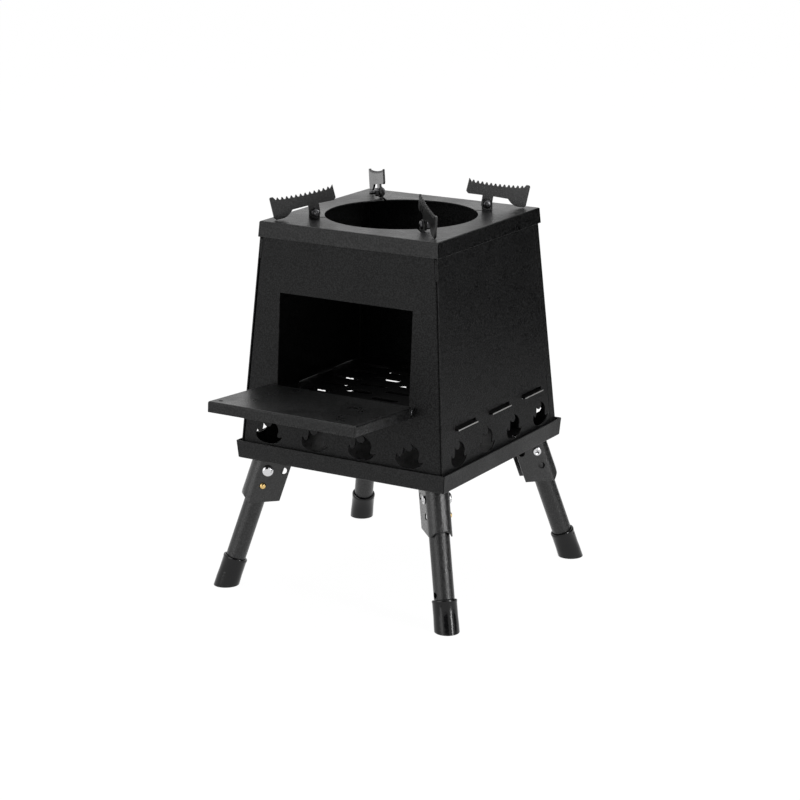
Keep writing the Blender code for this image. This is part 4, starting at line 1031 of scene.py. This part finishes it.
@dataclass
class TopPlate:
    """The lift-off top plate, its toothed pot supports and their screws."""

    bench: Bench
    paint: Paintbox
    ring: CornerRing
    thread: ScrewThread
    arm_edge: float = 0.2 * MM
    pivot_radius: float = 80.4 * MM
    head_radius: float = 3.8 * MM
    head_height: float = 2.2 * MM
    recess_reach: float = 1.5 * MM
    recess_half: float = 0.55 * MM
    recess_depth: float = 1.1 * MM
    shank_radius: float = 1.9 * MM
    screw_length: float = 12.6 * MM
    screw_point: float = 0.35 * MM
    head_at: float = -1.65 * MM
    nut_at: float = 2.45 * MM
    nut_radius: float = 4.0 * MM
    nut_height: float = 3.2 * MM
    nut_play: float = 0.1 * MM
    thread_pitch: float = 0.7 * MM
    thread_end: float = 0.6 * MM
    margin: float = 1 * MM

    def dress(self) -> None:
        """Make the plate, the supports, their screws and their nuts."""
        plate = self.bench.rounded("pot_plate", "top_plate", self.paint.plate)
        self.bench.fit(plate, "top", Slot.PLATE, "top_plate")
        for corner in Corner:
            node = f"pot_support_{corner.label}"
            name = f"toothed_arm_{corner.label}"
            arm = self.bench.rounded(name, node, self.paint.arm, self.arm_edge)
            self.bench.fit(arm, f"support_{corner.label}", Slot.PLATE, node)
        joint = f"support_swing_{Corner.FRONT_RIGHT.label}"
        ring = (self.pivot_radius, self.bench.joint(joint, "pos_m").z)
        for kind, piece in (("support_screw", self.screw()), ("support_nut", self.nut())):
            self.ring.stand(f"{kind}s", piece, ring, "top", Slot.BLACKENED, kind)

    def screw(self) -> Object:
        """A round-headed screw with a cross recess and a real thread, lying along local Y.

        Returns:
            The screw, drawn about its corner's pivot.
        """
        finish = self.paint.blackened
        core = self.shank_radius - self.thread_pitch * 0.2
        neck = self.head_at - self.nut_at
        profile = [
            *dome(self.head_radius, self.head_height, 0.0, 0.3),
            (self.head_radius * 0.97, 0.0), (self.shank_radius, 0.0),
            (self.shank_radius, neck), (core, neck),
            (core, self.screw_point - self.screw_length),
            (core * 0.8, -self.screw_length), (0.0, -self.screw_length),
        ]
        upright = Matrix.Identity(4)
        head = self.bench.turned("support_screw_body", profile, finish, upright, steps=40)
        self.recess(head)
        head.data.transform(Matrix.Translation((0, self.head_at, 0)) @ sideways(math.pi / 2))
        run = self.head_at + self.screw_length - self.nut_at - self.thread_end
        thread = self.thread.wind("support_thread", core, run, self.thread_pitch, finish)
        thread.data.transform(Matrix.Translation((0, self.nut_at, 0)) @ sideways())
        return joined("support_screw_master", [head, thread])

    def recess(self, screw: Object) -> None:
        """Cut a cross recess into a screw head that points up local Z.

        Args:
            screw: the screw.
        """
        reach, half, top = self.recess_reach, self.recess_half, self.head_height
        low, high = top - self.recess_depth, top + self.margin
        boolean_cut(screw, [
            block("recess_a", (-reach, -half, low), (reach, half, high)),
            block("recess_b", (-half, -reach, low), (half, reach, high)),
        ])

    def nut(self) -> Object:
        """A hexagon nut, lying along local Y, its corners chamfered by a cone.

        Returns:
            The nut, drawn about its corner's pivot.
        """
        radius, height, margin = self.nut_radius, self.nut_height, self.margin
        flat = radius * math.cos(math.pi / 6)
        chamfer = (radius - flat) * 0.8
        body = [
            (0.0, height), (flat * 0.98, height), (radius, height - chamfer),
            (radius, chamfer * 0.5), (flat * 0.98, 0.0), (0.0, 0.0),
        ]
        upright = Matrix.Identity(4)
        nut = self.bench.turned("support_nut_master", body, self.paint.blackened, upright)
        outside = 3 * radius
        tools = []
        for side in range(6):
            low, high = (flat, -outside, -margin), (outside, outside, height + margin)
            blade = block(f"flat_{side}", low, high)
            blade.data.transform(Matrix.Rotation(side * math.pi / 3, 4, "Z"))
            tools.append(blade)
        bore = self.shank_radius + self.nut_play
        hole = [(0.0, height + margin), (bore, height + margin), (bore, -margin), (0.0, -margin)]
        tools.append(self.bench.turned("nut_bore", hole, self.paint.blackened, upright, steps=32))
        boolean_cut(nut, tools)
        nut.data.transform(Matrix.Translation((0, self.nut_at, 0)) @ sideways())
        return nut


@dataclass
class FoldingLegs:
    """Four brackets under the tray, each with its pivot rivet, tube, foot cap and lock button."""

    bench: Bench
    paint: Paintbox
    ring: CornerRing
    bracket_edge: float = 0.2 * MM
    tube_edge: float = 0.15 * MM
    pivot_radius: float = 128.6 * MM
    splay: float = math.radians(19.3)
    tube_radius: float = 9.25 * MM
    cap_radius: float = 11.3 * MM
    cap_length: float = 28.0 * MM
    cap_wall_floor: float = 7.7 * MM
    pip_radius: float = 1.1 * MM
    pip_below_lip: float = 5.5 * MM
    pip_turn: float = math.radians(-35)
    fit_gap: float = 0.3 * MM
    cheek_outer: float = 10.8 * MM
    pivot_head_radius: float = 5.3 * MM
    pivot_head_height: float = 2.8 * MM
    pivot_shank: float = 2.5 * MM
    rolled_radius: float = 4.0 * MM
    rolled_height: float = 1.4 * MM
    rolled_bore: float = 1.3 * MM
    lock_radius: float = 15.0 * MM
    button_radius: float = 2.8 * MM
    button_proud: float = 2.2 * MM
    button_flange: float = 3.7 * MM
    flange_inner: float = 6.1 * MM
    flange_height: float = 0.8 * MM
    rivet_ring: float = 111.3 * MM
    rivet_head: float = 1.0 * MM
    rivet_shank: float = 2.0 * MM

    @property
    def pivot_z(self) -> float:
        """The height of the legs' pivots."""
        return self.bench.joint(f"leg_fold_{Corner.FRONT_RIGHT.label}", "pos_m").z

    def dress(self) -> None:
        """Make the brackets, rivets and legs."""
        for corner in Corner:
            leg = f"leg_{corner.label}"
            for name, kind, body, finish, edge in (
                ("fold_bracket", "leg_bracket", "stove", self.paint.bracket, self.bracket_edge),
                ("tube", "leg_tube", leg, self.paint.leg, self.tube_edge),
            ):
                node = f"{kind}_{corner.label}"
                piece = self.bench.rounded(f"{name}_{corner.label}", node, finish, edge)
                self.bench.fit(piece, body, Slot.COAT, node)
            self.cap(corner)
            self.button(corner)
            self.spring(corner)
        pivots = (self.pivot_radius, self.pivot_z)
        for name, piece, ring, kind in (
            ("pivot_rivets", self.pivot_rivet(), pivots, "leg_pivot_rivet"),
            ("tray_rivets", self.tray_rivet(), (self.rivet_ring, 0.0), "bracket_rivet"),
        ):
            self.ring.stand(name, piece, ring, "stove", Slot.CHROME, kind)

    def leg_place(self, corner: Corner) -> Matrix:
        """From a leg's own axes, its pivot at the origin and its foot down -Z, to the frame's."""
        return (
            Matrix.Translation(self.ring.centre)
            @ Matrix.Rotation(corner.angle, 4, "Z")
            @ Matrix.Translation((self.pivot_radius, 0, self.pivot_z))
            @ Matrix.Rotation(-self.splay, 4, "Y")
        )

    def cap(self, corner: Corner) -> None:
        """Make one moulded foot cap, with a rolled lip at its mouth and a level foot.

        Args:
            corner: where it is.
        """
        length = self.pivot_z / math.cos(self.splay)
        top = -(length - self.cap_length)
        floor_at = -(length - self.cap_wall_floor)
        low_end = -(length + self.cap_radius)
        bore = self.tube_radius + self.fit_gap
        wide = self.cap_radius
        body = wide - 0.25 * MM
        profile = [
            (0.0, floor_at), (bore, floor_at), (bore, top - 0.3 * MM), (bore + 0.3 * MM, top),
            (wide - 0.9 * MM, top), (wide - 0.3 * MM, top - 0.25 * MM),
            (wide, top - 0.9 * MM), (wide, top - 2.2 * MM), (body, top - 2.9 * MM),
            (body - 0.05 * MM, top - self.cap_length * 0.55),
            (wide - 0.05 * MM, top - self.cap_length * 0.78),
            (wide - 0.05 * MM, low_end), (0.0, low_end),
        ]
        place = self.leg_place(corner)
        name = f"moulded_foot_{corner.label}"
        piece = self.bench.turned(name, profile, self.paint.cap, place, steps=64)
        reach = 4 * wide
        out = self.pivot_radius + self.pivot_z * math.tan(self.splay)
        foot = self.ring.centre + Matrix.Rotation(corner.angle, 3, "Z") @ Vector((out, 0, 0))
        low = (foot.x - reach, foot.y - reach, -reach)
        boolean_cut(piece, [block("ground_cut", low, (foot.x + reach, foot.y + reach, 0.0))])
        boolean_cut(piece, [self.pip(place, body, top)], "UNION")
        self.bench.fit(piece, f"leg_{corner.label}", Slot.CAP, f"foot_cap_{corner.label}")

    def pip(self, place: Matrix, body: float, top: float) -> Object:
        """The small raised dot under a cap's lip.

        Args:
            place: from the leg's axes to the frame's.
            body: the cap's radius there.
            top: the lip's height along the leg.

        Returns:
            The dot.
        """
        pip_at = (
            place
            @ Matrix.Rotation(self.pip_turn, 4, "Z")
            @ Matrix.Translation((body - self.pip_radius / 2, 0, top - self.pip_below_lip))
            @ Matrix.Rotation(math.pi / 2, 4, "Y")
        )
        profile = [*dome(self.pip_radius, self.pip_radius, 0.0, 0.5), (0.0, 0.0)]
        return self.bench.turned("moulded_pip", profile, self.paint.cap, pip_at, steps=20)

    def button(self, corner: Corner) -> None:
        """Make one brass lock button.

        Args:
            corner: where it is.
        """
        tip = self.cheek_outer + self.button_proud
        flange = self.flange_inner + self.flange_height
        crown = self.button_proud * 0.9
        profile = [
            *dome(self.button_radius, crown, tip - crown, 0.2),
            (self.button_radius, flange), (self.button_flange, flange),
            (self.button_flange, self.flange_inner), (0.0, self.flange_inner),
        ]
        name = f"button_{corner.label}"
        down = Matrix.Translation((0, 0, -self.lock_radius))
        place = self.leg_place(corner) @ down @ sideways()
        piece = self.bench.turned(name, profile, self.paint.brass, place, steps=40)
        self.bench.fit(piece, name, Slot.BRASS, f"lock_{name}")

    def spring(self, corner: Corner) -> None:
        """Make one leaf spring, whose free leaf goes in with its button while the other stays.

        Args:
            corner: where it is.
        """
        node = f"lock_spring_{corner.label}"
        leg, button = f"leg_{corner.label}", f"button_{corner.label}"
        mesh = self.bench.merged(node)
        mesh.materials.append(self.paint.spring)
        piece = placed(f"leaf_spring_{corner.label}", mesh)
        press = self.bench.joint(f"button_press_{corner.label}", "axis")
        along = [press.dot(vert.co) for vert in mesh.vertices]
        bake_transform(piece, leg, button, start=press * max(along), end=press * min(along))
        self.bench.enter(piece, f"{leg} and {button}", Slot.SPRING, node)

    def pivot_rivet(self) -> Object:
        """A domed tubular rivet along local Y: dome at +Y, its end rolled over at -Y.

        Returns:
            The rivet, drawn about its leg's pivot.
        """
        head = self.cheek_outer + self.fit_gap
        rolled, roll, wide = -head, self.rolled_height, self.rolled_radius
        profile = [
            *dome(self.pivot_head_radius, self.pivot_head_height, head, 0.2),
            (self.pivot_head_radius, head), (self.pivot_shank, head), (self.pivot_shank, rolled),
            (wide * 0.94, rolled), (wide, rolled - roll * 0.35),
            (wide * 0.93, rolled - roll * 0.75), (wide * 0.72, rolled - roll),
            (wide * 0.5, rolled - roll * 0.92), (self.rolled_bore, rolled - roll * 0.45),
            (self.rolled_bore, rolled + roll), (0.0, rolled + roll),
        ]
        return self.bench.turned("pivot_rivet_master", profile, self.paint.chrome, sideways())

    def tray_rivet(self) -> Object:
        """The low-headed rivet that holds a bracket's web under the tray.

        Returns:
            The rivet, drawn about the foot of its own axis on the ground.
        """
        low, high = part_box(f"bracket_rivet_{Corner.FRONT_RIGHT.label}")
        head, shank = self.rivet_head, self.rivet_shank
        radius = (high.x - low.x) / 2
        upper = dome(radius, head, high.z - head, 0.3)
        profile = [
            *upper,
            (radius, high.z - head), (shank, high.z - head), (shank, low.z + head),
            (radius, low.z + head),
            *[(r, low.z + high.z - z) for r, z in reversed(upper)],
        ]
        upright = Matrix.Identity(4)
        return self.bench.turned("tray_rivet_master", profile, self.paint.chrome, upright, steps=32)


@dataclass(frozen=True)
class Lamp:
    """A soft rectangular lamp that points at the stove."""

    name: str
    place: Point
    size: tuple[float, float]
    power: float

    def hang(self, target: Vector) -> None:
        """Put the lamp in the scene.

        Args:
            target: where it points.
        """
        data = bpy.data.lights.new(self.name, "AREA")
        data.shape = "RECTANGLE"
        data.size, data.size_y = self.size
        data.energy = self.power
        lamp = placed(self.name, data)
        lamp.location = target + Vector(self.place)
        lamp.rotation_euler = (-Vector(self.place)).to_track_quat("-Z", "Y").to_euler()


@dataclass(frozen=True)
class Card:
    """A black card that shows only in reflections, as a studio's flag does."""

    name: str
    bearing: float
    distance: float
    low: float
    high: float
    width: float
    colour: Colour = (0.004, 0.004, 0.004)

    def stand(self, target: Vector) -> None:
        """Stand the card upright, facing the stove.

        Args:
            target: the foot of the stove's axis.
        """
        turn = math.radians(self.bearing)
        away = Vector((math.sin(turn), -math.cos(turn), 0.0))
        side = Vector((math.cos(turn), math.sin(turn), 0.0)) * (self.width / 2)
        foot = target + away * self.distance
        corners = [
            foot + side * sign + Vector((0, 0, height))
            for sign, height in ((-1, self.low), (1, self.low), (1, self.high), (-1, self.high))
        ]
        mesh = bpy.data.meshes.new(self.name)
        mesh.from_pydata([tuple(corner) for corner in corners], [], [(0, 1, 2, 3)])
        material, graph, shader = new_surface(self.name)
        graph.feed(shader, {"Base Color": rgba(self.colour), "Specular IOR Level": 0.0})
        mesh.materials.append(material)
        card = placed(self.name, mesh)
        card.visible_camera = False
        card.visible_diffuse = False
        card.visible_transmission = False
        card.visible_shadow = False


@dataclass
class Studio:
    """Pale floor, white surroundings, lamps and the camera at the photograph's place."""

    axis_point: Vector
    azimuth: float = math.radians(31.15)
    pitch: float = math.radians(15.60)
    distance: float = 2.157
    height: float = 0.768
    focal: float = 2419.7
    centre: tuple[float, float] = (401.4, 400.0)
    image: int = 800
    sensor: float = 36.0
    floor_radius: float = 14.0
    floor_colour: Colour = (0.86, 0.86, 0.86)
    background: float = 1.05
    backdrop_share: float = 0.93
    world_light: float = 0.36
    aim_height: float = 0.22
    lamps: tuple[Lamp, ...] = (
        Lamp("left_box", (-0.55, -1.70, 0.45), (1.2, 1.0), 6.8),
        Lamp("right_box", (1.65, -0.25, 0.40), (0.3, 0.9), 13.6),
        Lamp("overhead", (-0.3, 0.5, 2.2), (1.4, 1.2), 22.0),
    )
    cards: tuple[Card, ...] = (
        Card("right_flag", 147.0, 0.75, 0.0, 0.8, 1.5),
        Card("front_flag", 31.0, 1.5, 0.35, 1.5, 1.0),
    )

    def build(self) -> None:
        """Build the floor, the world, the lamps and the camera."""
        self.floor()
        self.world()
        aim = self.axis_point + Vector((0, 0, self.aim_height))
        for lamp in self.lamps:
            lamp.hang(aim)
        for card in self.cards:
            card.stand(self.axis_point)
        self.camera()
        bpy.context.scene.view_settings.view_transform = "Standard"

    def seen(self, graph: Graph) -> NodeSocket:
        """1 where the camera sees a surface, straight or by way of gloss or glass."""
        path = graph.add("ShaderNodeLightPath").outputs
        shown = graph.math("ADD", path["Is Camera Ray"], path["Is Glossy Ray"])
        return graph.math("ADD", shown, path["Is Transmission Ray"], clamp=True)

    def floor(self) -> None:
        """Lay a plain pale floor that is nearly white to the eye and keeps the shadow."""
        name = "studio_floor"
        bm = bmesh.new()
        bmesh.ops.create_circle(bm, cap_ends=True, segments=96, radius=self.floor_radius)
        mesh = mesh_of(name, bm)
        floor = placed(name, mesh)
        material = bpy.data.materials.new(name)
        material.use_nodes = True
        graph = Graph(material.node_tree)
        material.node_tree.nodes.clear()
        lit = graph.add("ShaderNodeBsdfDiffuse", {"Color": rgba(self.floor_colour)}).outputs[0]
        glow = graph.add("ShaderNodeEmission", {"Strength": self.background}).outputs[0]
        share = graph.math("MULTIPLY", self.seen(graph), self.backdrop_share)
        mixed = graph.add("ShaderNodeMixShader", {0: share, 1: lit, 2: glow}).outputs[0]
        graph.add("ShaderNodeOutputMaterial", {"Surface": mixed})
        mesh.materials.append(material)

    def world(self) -> None:
        """Light the scene evenly, and show white where nothing stands."""
        world = bpy.data.worlds.new("studio_world")
        world.use_nodes = True
        bpy.context.scene.world = world
        graph = Graph(world.node_tree)
        world.node_tree.nodes.clear()
        extra = self.background - self.world_light
        strength = graph.math("MULTIPLY_ADD", self.seen(graph), extra, self.world_light)
        keys = {"Color": rgba((1.0, 1.0, 1.0)), "Strength": strength}
        light = graph.add("ShaderNodeBackground", keys).outputs[0]
        graph.add("ShaderNodeOutputWorld", {"Surface": light})

    def camera(self) -> None:
        """Set the camera where the photograph was taken from."""
        data = bpy.data.cameras.new("camera")
        data.sensor_fit = "HORIZONTAL"
        data.sensor_width = self.sensor
        data.lens = self.focal * data.sensor_width / self.image
        data.shift_x = (self.image / 2 - self.centre[0]) / self.image
        data.shift_y = (self.centre[1] - self.image / 2) / self.image
        camera = placed("camera", data)
        away = Vector((math.sin(self.azimuth), -math.cos(self.azimuth), 0.0)) * self.distance
        camera.location = self.axis_point + away + Vector((0, 0, self.height))
        camera.rotation_euler = (math.pi / 2 - self.pitch, 0.0, self.azimuth)
        bpy.context.scene.camera = camera


def stove_axis() -> Vector:
    """The foot of the stove's upright axis, under the middle of its tray."""
    low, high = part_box("base_tray")
    return Vector(((low.x + high.x) / 2, (low.y + high.y) / 2, 0.0))


def nick_place() -> Point:
    """Where the front wall's coat has a painted pale spot: at the feed opening's lower left corner."""
    return (-69.6 * MM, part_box("front_panel")[0].y + 6.1 * MM, 196.4 * MM)


def main() -> None:
    """Load the frame, dress every sub-assembly and light the scene."""
    logging.basicConfig(level=logging.INFO, format="%(name)s: %(message)s")
    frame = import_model()
    axis_point = stove_axis()
    bench = Bench(frame)
    paint = Paintbox(nick_place())
    ring = CornerRing(bench, axis_point)
    Studio(axis_point).build()
    Firebox(bench, paint).dress()
    FeedDoor(bench, paint).dress()
    TopPlate(bench, paint, ring, ScrewThread(bench)).dress()
    FoldingLegs(bench, paint, ring).dress()
    LOG.info("%d pieces made", len(bench.made))


if __name__ == "__main__":
    main()
